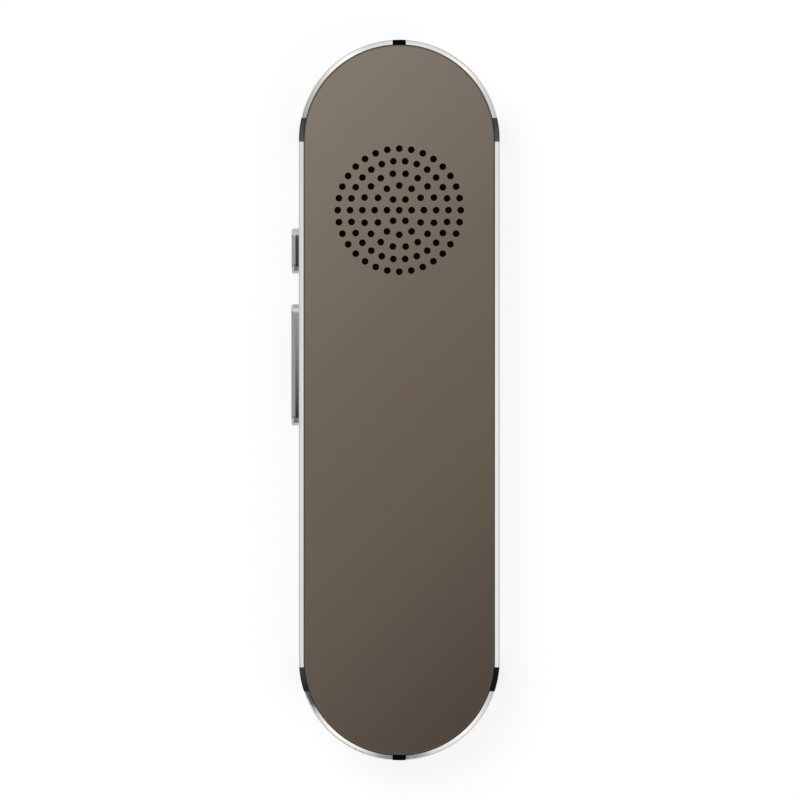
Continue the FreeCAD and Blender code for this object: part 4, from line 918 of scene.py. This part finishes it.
def build_world(tree):
    split = tree.nodes.new("ShaderNodeSeparateXYZ")
    tree.links.new(tree.nodes.new("ShaderNodeTexCoord").outputs["Generated"], split.inputs[0])
    turn = math_node(tree, "ARCTAN2", split.outputs["Y"], split.outputs["X"])
    share = math_node(tree, "DIVIDE", turn, 2 * math.pi)
    share = math_node(tree, "FRACT", math_node(tree, "ADD", share, 1.0))
    wall = math_node(tree, "MULTIPLY", ramp(tree, share, plain_stops(WALL_TONES, TONE_LIMIT)), TONE_LIMIT)
    height = ramp(tree, split.outputs["Z"], plain_stops(HEIGHT_TONES, 1.0))
    wall = math_node(tree, "MULTIPLY", wall, height)
    overhead = level_node(tree, split.outputs["Z"], CEILING_EDGE, CEILING_FULL)
    mirrored = tree.nodes.new("ShaderNodeMix")
    tree.links.new(overhead, mirrored.inputs["Factor"])
    tree.links.new(wall, mirrored.inputs[2])
    mirrored.inputs[3].default_value = CEILING
    path = tree.nodes.new("ShaderNodeLightPath")
    soft = tree.nodes.new("ShaderNodeMix")
    tree.links.new(path.outputs["Is Glossy Ray"], soft.inputs["Factor"])
    soft.inputs[2].default_value = ROOM_LIGHT
    tree.links.new(mirrored.outputs[0], soft.inputs[3])
    plain = tree.nodes.new("ShaderNodeMix")
    seen = math_node(tree, "MAXIMUM", path.outputs["Is Camera Ray"], path.outputs["Is Transmission Ray"])
    tree.links.new(seen, plain.inputs["Factor"])
    tree.links.new(soft.outputs[0], plain.inputs[2])
    plain.inputs[3].default_value = 1.0
    light = tree.nodes.new("ShaderNodeBackground")
    tree.links.new(plain.outputs[0], light.inputs["Strength"])
    output = tree.nodes.new("ShaderNodeOutputWorld")
    tree.links.new(light.outputs[0], output.inputs["Surface"])


build_world(sky)

# %% [markdown]
# Two large soft lamps hang over the object, the stronger one beyond its upper left, where the
# picture's plate is lightest. They don't show in mirrors, so the rim mirrors the walls and floor.


# %% Lamps
def soft_lamp(name, place, side, watts):
    lamp = bpy.data.lights.new(name, "AREA")
    lamp.shape = "SQUARE"
    lamp.size = side
    lamp.energy = watts
    item = bpy.data.objects.new(name, lamp)
    item.location = place
    item.rotation_euler = (-Vector(place)).to_track_quat("-Z", "Y").to_euler()
    item.visible_glossy = False
    bpy.context.scene.collection.objects.link(item)
    return item


soft_lamp("Key lamp", (-0.45, 0.55, 0.9), 0.8, 5.6)
soft_lamp("Fill lamp", (0.6, -0.5, 0.8), 0.8, 2.5)

# %% [markdown]
# The picture looks straight down on the speaker side with a long lens, and its frame spans
# about four times the body's width at the level of that side. The camera's height follows from the
# lens and that span.

# %% Camera
LENS = 200.0
SENSOR = 36.0
PICTURE_SPAN = 151.24 * MM
PICTURE_SHIFT = 0.14 * MM
camera_data = bpy.data.cameras.new("Camera")
camera_data.lens = LENS
camera_data.sensor_width = SENSOR
camera = bpy.data.objects.new("Camera", camera_data)
camera.location = (PICTURE_SHIFT, 0.0, BACK_LEVEL + PICTURE_SPAN / 2 / (SENSOR / 2 / LENS))
camera_data.clip_start = 0.05
camera_data.clip_end = 20.0
bpy.context.scene.collection.objects.link(camera)
bpy.context.scene.camera = camera
bpy.context.scene.view_settings.view_transform = "Standard"
print("camera is", round(camera.location.z, 3), "m above the floor")
